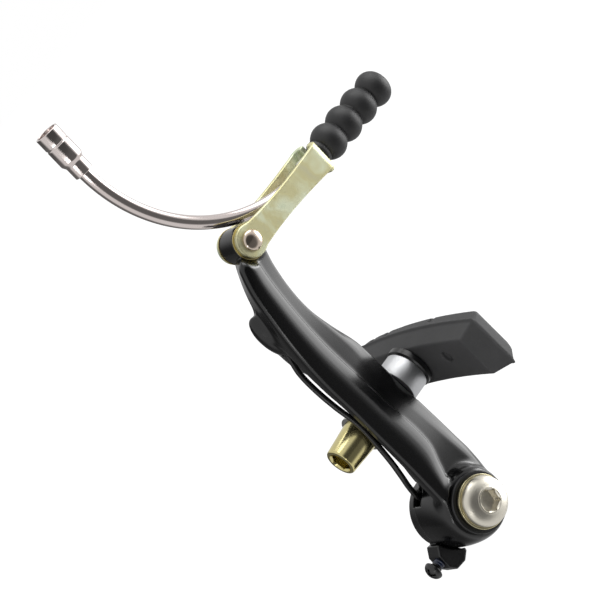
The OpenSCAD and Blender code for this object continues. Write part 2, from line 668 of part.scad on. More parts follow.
// Thickness of a domed washer at its hole, when its flat face stands off a cup's rim
function dome_total(stand_off, cup_r) = stand_off + sag(hole_r) - sag(cup_r - cup_lip);
function arc_r(r_out, i) = r_out + (hole_r - r_out) * i / 6;
module domed_washer(r_out, t) {
    rim_t = t - sag(hole_r) + sag(r_out);
    rotate_extrude() polygon(concat([[hole_r, 0], [r_out, 0]],
        [for (i = [0 : 6]) [arc_r(r_out, i), rim_t + sag(arc_r(r_out, i)) - sag(r_out)]]));
}
module cupped_ring(r_out, t) {
    r_cup = r_out - cup_lip;
    rotate_extrude() polygon(concat(
        [[hole_r, 0], [r_out - 0.25, 0], [r_out, 0.25], [r_out, t - 0.2]],
        [for (i = [0 : 6]) [arc_r(r_cup, i), t - sag(arc_r(r_cup, i)) + sag(r_cup)]]));
}

// Dark domed washer that rests in the spacer's cup and carries the shoe
module pad_seat_washer() {
    color("#1c1c1d") translate([pad_back_x, post_y, post_z]) rotate([0, -90, 0])
        domed_washer(spacer_r + 0.35, dome_total(pad_back_x - seat_in_x - spacer_t, spacer_r));
}
module inner_spacer() {
    color("#bfc0c1") translate([seat_in_x, post_y, post_z]) round_x()
        cupped_ring(spacer_r, spacer_t);
}
outer_r = 5.3;
outer_cup_t = seat_out_x - nut_base_x - flat_t - dome_t + 0.2;
module outer_dome_washer() {
    color("#1c1c1d") translate([seat_out_x, post_y, post_z]) rotate([0, -90, 0])
        domed_washer(outer_r, dome_total(dome_t - 0.2, outer_r));
}
module outer_cup_washer() {
    color("#c9c8c4") translate([nut_base_x + flat_t, post_y, post_z]) round_x()
        cupped_ring(outer_r, outer_cup_t);
}
module flat_washer() {
    color("#cfcfcc") at_post() translate([0, 0, nut_base_x]) tube_of(5.6, hole_r, flat_t);
}

module pad_nut() {
    end_x = nut_base_x - nut_len;
    color("#cdbb6a") difference() {
        at_post() translate([0, 0, end_x]) rotate_extrude() polygon([
            [0, 0], [nut_end_r - 0.35, 0], [nut_end_r, 0.35], [nut_base_r, nut_len - 0.5],
            [nut_base_r, nut_len], [0, nut_len]]);
        at_post() translate([0, 0, nut_base_x - 4.6]) cylinder(r = post_r + 0.02, h = 6);
        at_post() translate([0, 0, end_x - past]) rotate([0, 0, 10]) hexagon(hex_af, 3.6 + past);
    }
}

brake_arm();
bearing_sleeve();
pivot_bush();
bolt_washer();
pivot_bolt();
spring_housing();
return_spring();
tension_screw();
noodle_link();
link_washers();
link_rivet();
noodle_nose();
noodle_tube();
noodle_liner();
noodle_ferrule();
cable_boot();
brake_pad();
pad_post();
pad_seat_washer();
inner_spacer();
outer_dome_washer();
outer_cup_washer();
flat_washer();
pad_nut();
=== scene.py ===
"""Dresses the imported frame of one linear-pull brake arm: noodle side, with pad, link and boot.

Sizes are in millimetres and are turned to metres when a mesh is made. The pivot axis is Y through
the origin, Z runs up the arm and X points to the rim.
"""
import math

import bmesh
import bpy
import numpy as np
from bpy.props import FloatProperty, FloatVectorProperty, PointerProperty
from bpy.types import Operator, Panel, PropertyGroup
from mathutils import Matrix, Vector


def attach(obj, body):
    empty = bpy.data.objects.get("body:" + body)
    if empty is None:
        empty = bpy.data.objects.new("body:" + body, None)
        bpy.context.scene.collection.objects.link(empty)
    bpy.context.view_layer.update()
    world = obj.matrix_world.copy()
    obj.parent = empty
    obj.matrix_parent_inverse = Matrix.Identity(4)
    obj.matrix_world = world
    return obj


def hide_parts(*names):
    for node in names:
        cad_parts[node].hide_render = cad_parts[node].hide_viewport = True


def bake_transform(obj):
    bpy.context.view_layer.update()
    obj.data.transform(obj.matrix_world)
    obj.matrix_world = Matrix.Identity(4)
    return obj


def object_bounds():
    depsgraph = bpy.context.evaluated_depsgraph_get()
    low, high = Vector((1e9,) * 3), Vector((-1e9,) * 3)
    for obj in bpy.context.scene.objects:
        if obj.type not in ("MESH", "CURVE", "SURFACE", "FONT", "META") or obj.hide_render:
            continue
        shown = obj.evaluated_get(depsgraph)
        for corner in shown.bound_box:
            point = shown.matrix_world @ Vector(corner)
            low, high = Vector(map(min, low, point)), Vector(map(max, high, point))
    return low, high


bl_info = {
    "name": "Linear-pull brake arm",
    "version": (1, 0, 0),
    "blender": (4, 5, 0),
    "location": "3D View > Sidebar > Brake arm",
    "description": "Builds one brake arm with its pad, link, noodle and boot on the packed frame",
    "category": "Add Mesh",
}

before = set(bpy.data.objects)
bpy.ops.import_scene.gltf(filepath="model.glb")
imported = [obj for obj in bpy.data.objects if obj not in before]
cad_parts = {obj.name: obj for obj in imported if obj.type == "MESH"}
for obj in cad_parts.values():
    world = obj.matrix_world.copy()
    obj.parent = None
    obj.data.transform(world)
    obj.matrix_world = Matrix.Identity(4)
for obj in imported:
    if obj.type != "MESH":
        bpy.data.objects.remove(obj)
cad_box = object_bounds()

# Sizes shared with the frame, in millimetres
MM = 0.001
ARM_LEN, RIVET_X, MID_Y = 85.0, 8.9, -10.5
RIVET_Z = math.sqrt(ARM_LEN**2 - RIVET_X**2)
RIB_Y, RIB_STEP = -17.2, 2.6
BOSS_R, BOSS_FRONT_R, BOSS_FRONT_Y, BOSS_REAR_Y = 10.1, 7.9, -17.1, -4.1
SLEEVE_R, COLLAR_R = 6.0, 7.8
COLLAR_T, SLEEVE_BORE_R, SLEEVE_REAR_Y = 1.1, 5.05, -7.6
WASHER_FRONT_Y, WASHER_R, WASHER_BORE_R, WASHER_T = -19.6, 6.8, 3.5, 1
HEAD_R, HEAD_H = 6.3, 3.4
HEX_HALF = 2.5
LUG = (-2.9, -8.7, 0.775 * RIVET_Z)
POST_Y, POST_Z = -7.7, 31.2
SEAT_OUT_X, SEAT_IN_X, SPACER_T, SPACER_R, DOME_T = 1.6, 11.2, 5.7, 5.7, 1.8
PAD_BACK_X = SEAT_IN_X + SPACER_T + DOME_T + 0.2
RIM_R = 203.0
AXLE_Z = POST_Z - 1.3 - RIM_R
PAD_FRONT, PAD_REAR, PAD_SHOE_T, PAD_BLOCK_T = 27.5, 29.5, 5.6, 5.0
NUT_BASE_X, NUT_LEN, NUT_BASE_R, NUT_END_R = -4.2, 9.3, 4.6, 3.95
LINK_LEN, SHEET_T, LEG_GAP, LEG_END_R, LINK_DIP = 31.1, 1.4, 7.8, 4.2, 2.5
NOODLE_R, NOODLE_WALL, BEND_R, BEND_START, TAIL = 1.72, 0.45, 40.8, 23.9, 3.0
SCREW_POS, SCREW_DIP, SCREW_R, SCREW_LEN, SCREW_HEAD_R = (-14.8, -3.5, -6.25), 4.4, 1.5, 6.4, 2.5
HOUSING_R, COIL_R, WIRE_R = 9.6, 7.0, 0.75

# Stations up the arm: height as a share of the rivet's, outer edge, rib edge, inner edge, width of
# the inner bevel, web's outer face, rear of the outer lip, rear of the web, draft of the lip
STATIONS = np.array([
    [-0.06, -4.6, -0.6, 7.0, 1.2, -2.4, -13.4, -5.4, 0],
    [0.01, -6.0, -1.4, 10.6, 1.6, -2.8, -13.4, -5.2, 0],
    [0.085, -6.3, -1.5, 11.6, 2.1, -2.9, -13.5, -4.9, 0],
    [0.15, -6.1, 0.4, 11.6, 2.5, -2.3, -13.6, -4.3, 0],
    [0.21, -5.9, 2.4, 11.6, 2.9, -0.9, -13.9, -3.2, 0],
    [0.28, -5.8, 2.9, 11.5, 3.3, 0.6, -14.1, -2.6, 0],
    [0.38, -5.7, 2.5, 11.4, 3.7, 1.5, -14.2, -2.6, 0],
    [0.47, -5.6, 2.4, 11.3, 3.7, 1.2, -14.0, -2.6, 0],
    [0.56, -5.7, 2.1, 11.1, 2.6, -0.6, -13.4, -3.1, 0],
    [0.65, -5.3, 2.1, 9.5, 1.4, -3.0, -12.4, -4.2, 0.1],
    [0.74, -4.4, 2.6, 8.4, 0.9, -3.4, -11.2, -5.4, 0.3],
    [0.82, -3.2, 3.4, 8.8, 0.8, -1.2, -10.2, -6.4, 1.0],
    [0.9, -1.7, 4.5, 10.3, 0.8, 1.3, -9.4, -7.0, 2.1],
    [0.96, 0.2, 5.9, 12.2, 0.8, 4.0, -9.4, -7.2, 2.9],
    [0.99, 1.7, 6.9, 12.7, 0.8, 5.8, -9.4, -7.3, 3.3]])


# Places
def moved(x, y, z):
    """4x4 shift by (x, y, z) millimetres."""
    m = np.eye(4)
    m[:3, 3] = x, y, z
    return m


def tipped(degrees):
    """4x4 turn about +Y."""
    c, s = math.cos(math.radians(degrees)), math.sin(math.radians(degrees))
    return np.array([[c, 0, s, 0], [0, 1, 0, 0], [-s, 0, c, 0], [0, 0, 0, 1.0]])


# A shape drawn round Z, laid round Y or round X
ROUND_Y = np.array([[1, 0, 0, 0], [0, 0, 1, 0], [0, -1, 0, 0], [0, 0, 0, 1.0]])
ROUND_X = np.array([[0, 0, 1, 0], [0, 1, 0, 0], [-1, 0, 0, 0], [0, 0, 0, 1.0]])
AT_LINK = moved(RIVET_X, MID_Y, RIVET_Z) @ tipped(LINK_DIP)
AT_SCREW = moved(*SCREW_POS) @ tipped(SCREW_DIP) @ ROUND_X


def carried(points, place):
    """Points, one to a row, through a 4x4 matrix."""
    return points @ place[:3, :3].T + place[:3, 3]


# Curves
def catmull(table, share):
    """Catmull-Rom curve through the rows of table: between rows b and c, with neighbours a and d,
    half of 2b + (c-a)u + (2a-5b+4c-d)u^2 + (3b-a-3c+d)u^3."""
    table = np.asarray(table, float)
    n = len(table)
    p = np.atleast_1d(np.asarray(share, float)) * (n - 1)
    i = np.minimum(p.astype(int), n - 2)
    u = (p - i)[:, None]
    a, b, c, d = (table[np.clip(i + k, 0, n - 1)] for k in (-1, 0, 1, 2))
    return 0.5 * (2 * b + (c - a) * u + (2 * a - 5 * b + 4 * c - d) * u**2
                  + (3 * b - a - 3 * c + d) * u**3)


def rounded(profile, radius, steps=4):
    """Closed outline with each corner replaced by a quadratic arc that starts and ends `radius`
    away from it, or a third of the side where that is shorter. Points on the axis stay."""
    p = np.asarray(profile, float)
    before, after = np.roll(p, 1, 0) - p, np.roll(p, -1, 0) - p
    la, lb = np.linalg.norm(before[:, :2], axis=1), np.linalg.norm(after[:, :2], axis=1)
    reach = np.minimum(radius, np.minimum(la, lb) / 3)
    a = p + before * (reach / la)[:, None]
    b = p + after * (reach / lb)[:, None]
    u = np.linspace(0, 1, steps + 1)[None, :, None]
    arcs = (1 - u) ** 2 * a[:, None] + 2 * u * (1 - u) * p[:, None] + u**2 * b[:, None]
    arcs[p[:, 0] <= 1e-9] = p[p[:, 0] <= 1e-9][:, None]
    return arcs.reshape(-1, p.shape[1])


# Meshes
def mesh_object(name, points, faces, weld=True):
    """Points in millimetres and their faces as an object at the origin, in metres."""
    mesh = bpy.data.meshes.new(name)
    mesh.from_pydata((np.asarray(points) * MM).tolist(), [], np.asarray(faces).tolist())
    if weld:
        shape = bmesh.new()
        shape.from_mesh(mesh)
        bmesh.ops.remove_doubles(shape, verts=shape.verts, dist=1e-7)
        bmesh.ops.recalc_face_normals(shape, faces=shape.faces)
        shape.to_mesh(mesh)
        shape.free()
    mesh.shade_smooth()
    obj = bpy.data.objects.new(name, mesh)
    bpy.context.scene.collection.objects.link(obj)
    return obj


def wrapped(grid, closed):
    """Faces of a grid of points that closes on itself along its second index, and along its
    first one too where closed is true."""
    m, n = grid.shape[:2]
    i, j = np.arange(m if closed else m - 1)[:, None], np.arange(n)[None, :]
    k, l = (i + 1) % m, (j + 1) % n
    return np.stack(np.broadcast_arrays(i * n + j, i * n + l, k * n + l, k * n + j), -1).reshape(-1, 4)


def turned(name, profile, place, sides=96, turn=0.0, sharp=35):
    """Solid of revolution: point (r, t) of the closed profile goes round as
    (r f cos a, r f sin a, t). A third column w from 0 to 1 pulls the circle out to a hexagon
    whose half width is r: f = 1 - w + w / cos of the angle from the nearest flat's middle."""
    p = np.asarray(profile, float)
    w = p[:, 2] if p.shape[1] > 2 else np.zeros(len(p))
    a = np.linspace(0, 2 * np.pi, sides, endpoint=False)[None, :]
    off = (a - math.radians(turn) + np.pi / 6) % (np.pi / 3) - np.pi / 6
    f = 1 - w[:, None] + w[:, None] / np.cos(off)
    grid = np.stack(np.broadcast_arrays(p[:, :1] * f * np.cos(a), p[:, :1] * f * np.sin(a), p[:, 1:2]), -1)
    obj = mesh_object(name, carried(grid.reshape(-1, 3), place), wrapped(grid, True))
    obj.data.set_sharp_from_angle(angle=math.radians(sharp))
    return obj


def rings(path, radius, sides, lean=(0, 1, 0.02)):
    """Circles of `radius` square to the path, their first axis square to `lean` as well."""
    path = np.asarray(path, float)
    t = np.gradient(path, axis=0)
    t /= np.linalg.norm(t, axis=1)[:, None]
    u = np.cross(t, np.asarray(lean, float))
    u /= np.linalg.norm(u, axis=1)[:, None]
    v = np.cross(u, t)
    a = np.linspace(0, 2 * np.pi, sides, endpoint=False)[None, :, None]
    r = np.broadcast_to(radius, len(path))[:, None, None]
    return path[:, None] + r * (np.cos(a) * u[:, None] + np.sin(a) * v[:, None])


def drawn(name, path, radius, bore=0.0, sides=24):
    """Wire or tube along a path. A wire closes to a point at each end over a short dome; a tube
    runs back along its bore, so that one closed grid holds both walls."""
    path = np.asarray(path, float)
    if bore:
        grid = np.concatenate([rings(path, radius, sides), rings(path, bore, sides)[::-1]])
        return mesh_object(name, grid.reshape(-1, 3), wrapped(grid, True))
    grid = rings(path, radius, sides)
    first, last = path[0] - path[1], path[-1] - path[-2]
    ends = [(grid[0], path[0], first / np.linalg.norm(first)),
            (grid[-1], path[-1], last / np.linalg.norm(last))]
    dome = [np.stack([mid + (ring - mid) * math.cos(b) + way * radius * 0.5 * math.sin(b)
                      for b in np.radians([30, 60, 90])]) for ring, mid, way in ends]
    grid = np.concatenate([dome[0][::-1], grid, dome[1]])
    return mesh_object(name, grid.reshape(-1, 3), wrapped(grid, False))


# Solids told by a distance: negative inside, positive outside
def soft_min(a, b, k):
    """Union: the smaller distance, less h*h*k/4 where the two are closer than k, which leaves a
    fillet."""
    h = np.maximum(0, 1 - np.abs(a - b) / k)
    return np.minimum(a, b) - h * h * k / 4


def soft_max(a, b, k):
    """Overlap of two solids, with its edge rounded over k."""
    return -soft_min(-a, -b, k)


def cut(solid, tool, k=0.3):
    """Solid less tool, with the new edge rounded over k."""
    return soft_max(solid, -tool, k)


def outline(x, y, polygon):
    """Signed distance in a plane from (x, y) to a closed polygon, or to one polygon a point:
    the shortest distance to a side, negative where the winding number isn't zero."""
    a = np.asarray(polygon, np.float32)
    b = np.roll(a, -1, axis=-2)
    ex, ey = b[..., 0] - a[..., 0], b[..., 1] - a[..., 1]
    wx, wy = x[:, None].astype(np.float32) - a[..., 0], y[:, None].astype(np.float32) - a[..., 1]
    t = np.clip((wx * ex + wy * ey) / np.maximum(ex * ex + ey * ey, 1e-9), 0, 1)
    far = ((wx - t * ex) ** 2 + (wy - t * ey) ** 2).min(1)
    side = ex * wy - ey * wx
    starts, ends = wy >= 0, wy - ey >= 0
    winds = (starts & ~ends & (side > 0)).sum(1) - (~starts & ends & (side < 0)).sum(1)
    return np.where(winds != 0, -1, 1) * np.sqrt(far.astype(float))


def block(p, low, high):
    """Distance to a box between two corners."""
    low, high = np.asarray(low, float), np.asarray(high, float)
    q = np.abs(p - (low + high) / 2) - (high - low) / 2
    return np.linalg.norm(np.maximum(q, 0), axis=1) + np.minimum(q.max(1), 0)


def drum(r, t, radius, low, high, k=0.2):
    """Distance to a cylinder from the distance r to its axis and the place t along it."""
    return soft_max(r - radius, np.maximum(low - t, t - high), k)


def skinned(name, field, low, high, step, settle=3):
    """Closed skin where field is zero. A vertex in each cell of a grid that the surface crosses
    starts at the mean of its edge crossings, then settles: it moves halfway to the middle of its
    faces and back along the field's slope onto the surface."""
    low, high = np.asarray(low, float), np.asarray(high, float)
    count = 4 * np.ceil((high - low) / step / 4).astype(int) + 1
    axes = [low[a] + step * np.arange(count[a]) for a in range(3)]

    def sample(points):
        parts = np.array_split(points, max(1, len(points) // 20000))
        return np.concatenate([field(part) for part in parts])

    rough = [axis[::4] for axis in axes]
    coarse = sample(np.stack(np.meshgrid(*rough, indexing="ij"), -1).reshape(-1, 3))
    value = coarse.reshape([len(r) for r in rough])
    for a in range(3):
        value = np.take(value, (np.arange(count[a]) + 2) // 4, axis=a)
    near = np.abs(value) < 7 * step
    at = np.argwhere(near)
    value[near] = sample(low + step * at)
    inside = value < 0
    total = np.zeros(count - 1, np.int8)
    for i in (0, 1):
        for j in (0, 1):
            for k in (0, 1):
                total += inside[i:count[0] - 1 + i, j:count[1] - 1 + j, k:count[2] - 1 + k]
    active = (total > 0) & (total < 8)
    index = np.full(active.shape, -1)
    index[active] = np.arange(active.sum())
    owners, places, quads = [], [], []
    for a in range(3):
        order = [a, (a + 1) % 3, (a + 2) % 3]
        val, idx = value.transpose(order), index.transpose(order)
        ins = val < 0
        i, j, k = np.nonzero(ins[:-1, 1:-1, 1:-1] != ins[1:, 1:-1, 1:-1])
        j, k = j + 1, k + 1
        share = val[i, j, k] / (val[i, j, k] - val[i + 1, j, k])
        spot = np.empty((len(i), 3))
        spot[:, order[0]] = axes[order[0]][i] + share * step
        spot[:, order[1]] = axes[order[1]][j]
        spot[:, order[2]] = axes[order[2]][k]
        ring = np.stack([idx[i, j - 1, k - 1], idx[i, j, k - 1], idx[i, j, k], idx[i, j - 1, k]], 1)
        owners.append(ring.ravel())
        places.append(np.repeat(spot, 4, axis=0))
        quads.append(np.where(ins[i, j, k][:, None], ring, ring[:, ::-1]))
    quads = np.concatenate(quads)

    def gathered(owner, place):
        n = np.bincount(owner, minlength=active.sum())
        return np.stack([np.bincount(owner, place[:, c], len(n)) / np.maximum(n, 1) for c in range(3)], 1)

    points = gathered(np.concatenate(owners), np.concatenate(places))
    for turn in range(settle):
        middle = points[quads].mean(1)
        points += 0.5 * (gathered(quads.ravel(), np.repeat(middle, 4, axis=0)) - points)
        for _ in range(2):
            here = sample(points)
            slope = np.stack([sample(points + 0.03 * axis) - here for axis in np.eye(3)], 1) / 0.03
            move = here / np.maximum((slope**2).sum(1), 0.2)
            points -= np.clip(move, -step, step)[:, None] * slope
    return mesh_object(name, points, quads, weld=False)


# Materials
def srgb(hex_colour):
    """Linear colour of an sRGB hex value."""
    c = np.array([int(hex_colour[i:i + 2], 16) / 255 for i in (1, 3, 5)])
    return tuple(np.where(c <= 0.04045, c / 12.92, ((c + 0.055) / 1.055) ** 2.4))


def add(tree, kind, settings=(), inputs=()):
    """Adds a node, sets its properties, and fills or links its inputs by name or number."""
    made = tree.nodes.new(kind)
    for key, value in dict(settings).items():
        setattr(made, key, value)
    for key, value in dict(inputs).items():
        if isinstance(value, bpy.types.NodeSocket):
            tree.links.new(value, made.inputs[key])
        else:
            made.inputs[key].default_value = value
    return made


def finish(name, constants, build=None):
    """A material on the Principled shader, with constants on its own sockets; build adds what
    varies over the surface from Object coordinates."""
    mat = bpy.data.materials.new(name)
    mat.use_nodes = True
    tree = mat.node_tree
    shader = tree.nodes["Principled BSDF"]
    for key, value in constants.items():
        shader.inputs[key].default_value = (*value, 1.0) if isinstance(value, tuple) else value
    if build:
        build(tree, shader, add(tree, "ShaderNodeTexCoord").outputs["Object"])
    return mat


def clouds(tree, spot, size_mm, detail, **more):
    """Noise whose lumps are size_mm wide."""
    return add(tree, "ShaderNodeTexNoise",
               inputs={"Vector": spot, "Scale": 1000 / size_mm, "Detail": detail, **more})


def grain(tree, shader, spot, size_mm, height_mm, strength=1.0, detail=3.0):
    """Bump of noise whose lumps are size_mm wide and about height_mm high."""
    noise = clouds(tree, spot, size_mm, detail)
    bump = add(tree, "ShaderNodeBump", inputs={"Height": noise.outputs[0], "Distance": height_mm * MM,
                                               "Strength": strength})
    tree.links.new(bump.outputs[0], shader.inputs["Normal"])
    return noise


def blended(tree, share, first, second):
    """Colour that goes from first to second as share goes from 0 to 1."""
    mix = add(tree, "ShaderNodeMix", {"data_type": "RGBA"},
              {"Factor": share, 6: (*first, 1), 7: (*second, 1)})
    return mix.outputs[2]


def banded(tree, value, stops):
    """Colour ramp through (place, colour) stops. A colour is a hex value or already linear."""
    ramp = add(tree, "ShaderNodeValToRGB", inputs={"Fac": value})
    line = ramp.color_ramp
    while len(line.elements) < len(stops):
        line.elements.new(1.0)
    for element, (place, colour) in zip(line.elements, stops):
        element.position = place
        element.color = (*(srgb(colour) if isinstance(colour, str) else colour), 1)
    return ramp.outputs[0]


def ranged(tree, value, low, high):
    """Value from 0..1 carried to low..high."""
    return add(tree, "ShaderNodeMapRange", inputs={"Value": value, "To Min": low, "To Max": high}).outputs[0]


def put(obj, body, mat, nodes=()):
    """Gives a piece its finish, its body and the nodes it stands for."""
    obj.data.materials.clear()
    obj.data.materials.append(mat)
    if body:
        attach(obj, body)
    if nodes:
        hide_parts(*nodes)
    return obj


def repaint(node, mat):
    """Gives a CAD node, which keeps its shape, a better finish."""
    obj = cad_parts[node]
    obj.data.materials.clear()
    obj.data.materials.append(mat)
    return obj


# What a user may change
class BrakeColours(PropertyGroup):
    """Colours of the main finishes."""
    paint: FloatVectorProperty(name="Arm paint", description="Colour of the arm's gloss paint",
                               subtype="COLOR", default=srgb("#070708"), min=0, max=1)
    zinc: FloatVectorProperty(name="Link zinc", description="Main colour of the link's chromated zinc",
                              subtype="COLOR", default=srgb("#e9edd0"), min=0, max=1)
    nut_zinc: FloatVectorProperty(name="Nut zinc", description="Colour of the nut's yellow zinc",
                                  subtype="COLOR", default=srgb("#dccf8c"), min=0, max=1)
    steel: FloatVectorProperty(name="Bolt steel", description="Colour of the bolt's steel",
                               subtype="COLOR", default=srgb("#ded9cc"), min=0, max=1)
    chrome: FloatVectorProperty(name="Noodle plating", description="Colour of the noodle's plating",
                                subtype="COLOR", default=srgb("#dcd5d1"), min=0, max=1)
    rubber: FloatVectorProperty(name="Pad rubber", description="Colour of the pad's rubber",
                                subtype="COLOR", default=srgb("#3a3a3b"), min=0, max=1)


class BrakeSizes(PropertyGroup):
    """Sizes that belong to the surface and not to the frame."""
    arm_fillet: FloatProperty(name="Arm fillet", description="Fillet where the rib runs into the boss",
                              default=1.8 * MM, min=0.2 * MM, max=4 * MM, unit="LENGTH")
    edge_round: FloatProperty(name="Edge round", description="Round on the edges of turned metal",
                              default=0.25 * MM, min=0.05 * MM, max=0.5 * MM, unit="LENGTH")
    rubber_grain: FloatProperty(name="Rubber grain", description="Width of the grain on the pad",
                                default=0.5 * MM, min=0.1 * MM, max=2 * MM, unit="LENGTH")
    peel: FloatProperty(name="Paint peel", description="Width of the paint's orange peel",
                        default=1.6 * MM, min=0.3 * MM, max=5 * MM, unit="LENGTH")


# Finishes
def black_paint(colour, peel_mm):
    """Stoved gloss paint on forged aluminium: sprayed, so it levels to a soft orange peel that
    breaks the highlights up a little, over a dark ground that stays black between them."""
    def build(tree, shader, spot):
        grain(tree, shader, spot, peel_mm, 0.006, 0.3, 1.0)
        fine = clouds(tree, spot, 0.35, 2.0)
        tree.links.new(ranged(tree, fine.outputs[0], 0.14, 0.24), shader.inputs["Roughness"])
    return finish("stoved_gloss_paint", {"Base Color": colour, "IOR": 1.55}, build)


def chromated_zinc(colour):
    """Yellow-green chromate over zinc on a stamped sheet: the thin film shifts between straw,
    green and pink in slow clouds, and the rolled sheet under it scatters the shine a little."""
    def build(tree, shader, spot):
        slow = clouds(tree, spot, 9, 3.0, Distortion=0.6)
        film = banded(tree, slow.outputs[0], [(0.25, "#c3d2b4"), (0.42, colour), (0.55, "#d9d4a6"),
                                             (0.7, "#d2cfae"), (0.85, "#d8c4a8")])
        tree.links.new(film, shader.inputs["Base Color"])
        noise = grain(tree, shader, spot, 0.5, 0.006, 0.5, 2.0)
        tree.links.new(ranged(tree, noise.outputs[0], 0.46, 0.62), shader.inputs["Roughness"])
    return finish("chromated_zinc", {"Metallic": 1.0}, build)


def plated(name, colour, rough, tint=None, size_mm=6.0):
    """Bright plating on turned steel: a clear mirror, with faint clouds of the plating's own
    colour and a roughness that wanders a little, as handling leaves it."""
    def build(tree, shader, spot):
        slow = clouds(tree, spot, size_mm, 2.0)
        if tint:
            tree.links.new(blended(tree, slow.outputs[0], colour, tint), shader.inputs["Base Color"])
        tree.links.new(ranged(tree, slow.outputs[0], rough * 0.7, rough * 1.4), shader.inputs["Roughness"])
    return finish(name, {"Base Color": colour, "Metallic": 1.0}, build)


def brushed(name, colour, rough, axis_scale, height_mm):
    """Turned and lightly brushed metal: fine marks that run long the one way and 0.3 mm wide
    the other, drawn at the width that still shows."""
    def build(tree, shader, spot):
        turn = add(tree, "ShaderNodeMapping", inputs={"Vector": spot, "Scale": axis_scale})
        marks = clouds(tree, turn.outputs[0], 0.3, 3.0)
        bump = add(tree, "ShaderNodeBump", inputs={"Height": marks.outputs[0], "Distance": height_mm * MM})
        tree.links.new(bump.outputs[0], shader.inputs["Normal"])
        tree.links.new(ranged(tree, marks.outputs[0], rough * 0.8, rough * 1.25), shader.inputs["Roughness"])
    return finish(name, {"Base Color": colour, "Metallic": 1.0}, build)


def rubber(name, colour, rough, size_mm, height_mm):
    """Moulded rubber: matt, with the fine grain of its mould, and patches a shade lighter where
    bloom and handling have dried the surface."""
    def build(tree, shader, spot):
        grain(tree, shader, spot, size_mm, height_mm, 1.0, 4.0)
        slow = clouds(tree, spot, 7, 3.0)
        dark, light = [c * 0.8 for c in colour], [c * 1.25 for c in colour]
        tree.links.new(blended(tree, slow.outputs[0], dark, light), shader.inputs["Base Color"])
    return finish(name, {"Base Color": colour, "Roughness": rough, "IOR": 1.52}, build)


def satin_plastic(name, colour, rough):
    """Moulded nylon or plastic-dipped steel: an even satin with a little mould texture."""
    def build(tree, shader, spot):
        noise = grain(tree, shader, spot, 0.6, 0.006, 0.6, 2.0)
        tree.links.new(ranged(tree, noise.outputs[0], rough * 0.8, rough * 1.2), shader.inputs["Roughness"])
    return finish(name, {"Base Color": colour, "IOR": 1.53}, build)


# The arm
ARM_CURVE = catmull(STATIONS, np.linspace(0, 1, 400)) * ([RIVET_Z] + [1] * 8)
LUG_HALF = (2.5, 2.5, 5.6)
LEAD_R, LEAD_DEPTH = 0.95, 6.6
TOP_BOSS_R, TOP_BOSS_FRONT_Y, TOP_BOSS_REAR_Y, RIVET_BORE_R = 4.4, -14.0, -7.0, 2.05
SPRING_RECESS_R, SPRING_RECESS_Y = 8.3, -7.4
SLOT_R, SLOT_REACH, SEAT_R = 3.3, 3.7, 6.4


def arm_section(z):
    """Outline of the arm at heights z: twenty-two points set from the stations' curve at z, then
    corners cut twice, each side giving its points at 0.17 and 0.83."""
    xo, xr, xi, bw, xw, yl, yr, dr = (np.interp(z, ARM_CURVE[:, 0], ARM_CURVE[:, k]) for k in range(1, 9))
    xb, xl, f, g = xi - bw, xo + dr, RIB_Y, RIB_Y + RIB_STEP
    xm = xo + 0.4 * (xr - xo)
    roll = (xr + 0.3 - xm) / 4
    spots = [(xm, f - 0.2), (xm + roll, f - 0.12), (xm + 2 * roll, f + 0.12), (xm + 3 * roll, f + 0.5),
             (xr + 0.3, f + 1.1), (xr + 0.8, g - 0.4), (xr + 1.2, g + 0.1),
             ((xr + xb) / 2 + 0.65, g + 0.6), (xb, g + 1.1), (xi - 0.3, f + 5.2),
             (xi, f + 6.2), (xi - 0.4, yr - 1.2), (xi - 1.8, yr), (xw + 1.3, yr),
             (xw + 0.1, yr - 1), (xw - 0.1, yl + 0.6), (xl + 0.5, yl), (xl + 0.05, yl - 0.5),
             (xo, f + 1.9), (xo + 0.1, f + 0.8), (xo + 0.6, f + 0.25), (xo + 1.5, f - 0.02)]
    shape = np.stack([np.stack([x + 0 * z, y + 0 * z], -1) for x, y in spots], -2)
    for _ in range(2):
        after = np.roll(shape, -1, axis=-2)
        shape = np.stack([0.83 * shape + 0.17 * after, 0.17 * shape + 0.83 * after], -2)
        shape = shape.reshape(len(z), -1, 2)
    return shape


BELL = np.radians(np.linspace(0, 90, 24))
BOSS_BELL = np.concatenate([
    [[-12, BOSS_FRONT_Y - 0.5], [BOSS_FRONT_R - 0.4, BOSS_FRONT_Y - 0.5]],
    np.stack([BOSS_FRONT_R + (BOSS_R - BOSS_FRONT_R) * np.sin(BELL),
              BOSS_FRONT_Y + 0.2 + (BOSS_REAR_Y - BOSS_FRONT_Y - 2.6) * (1 - np.cos(BELL))], 1),
    [[BOSS_R, BOSS_REAR_Y], [-12, BOSS_REAR_Y]]])


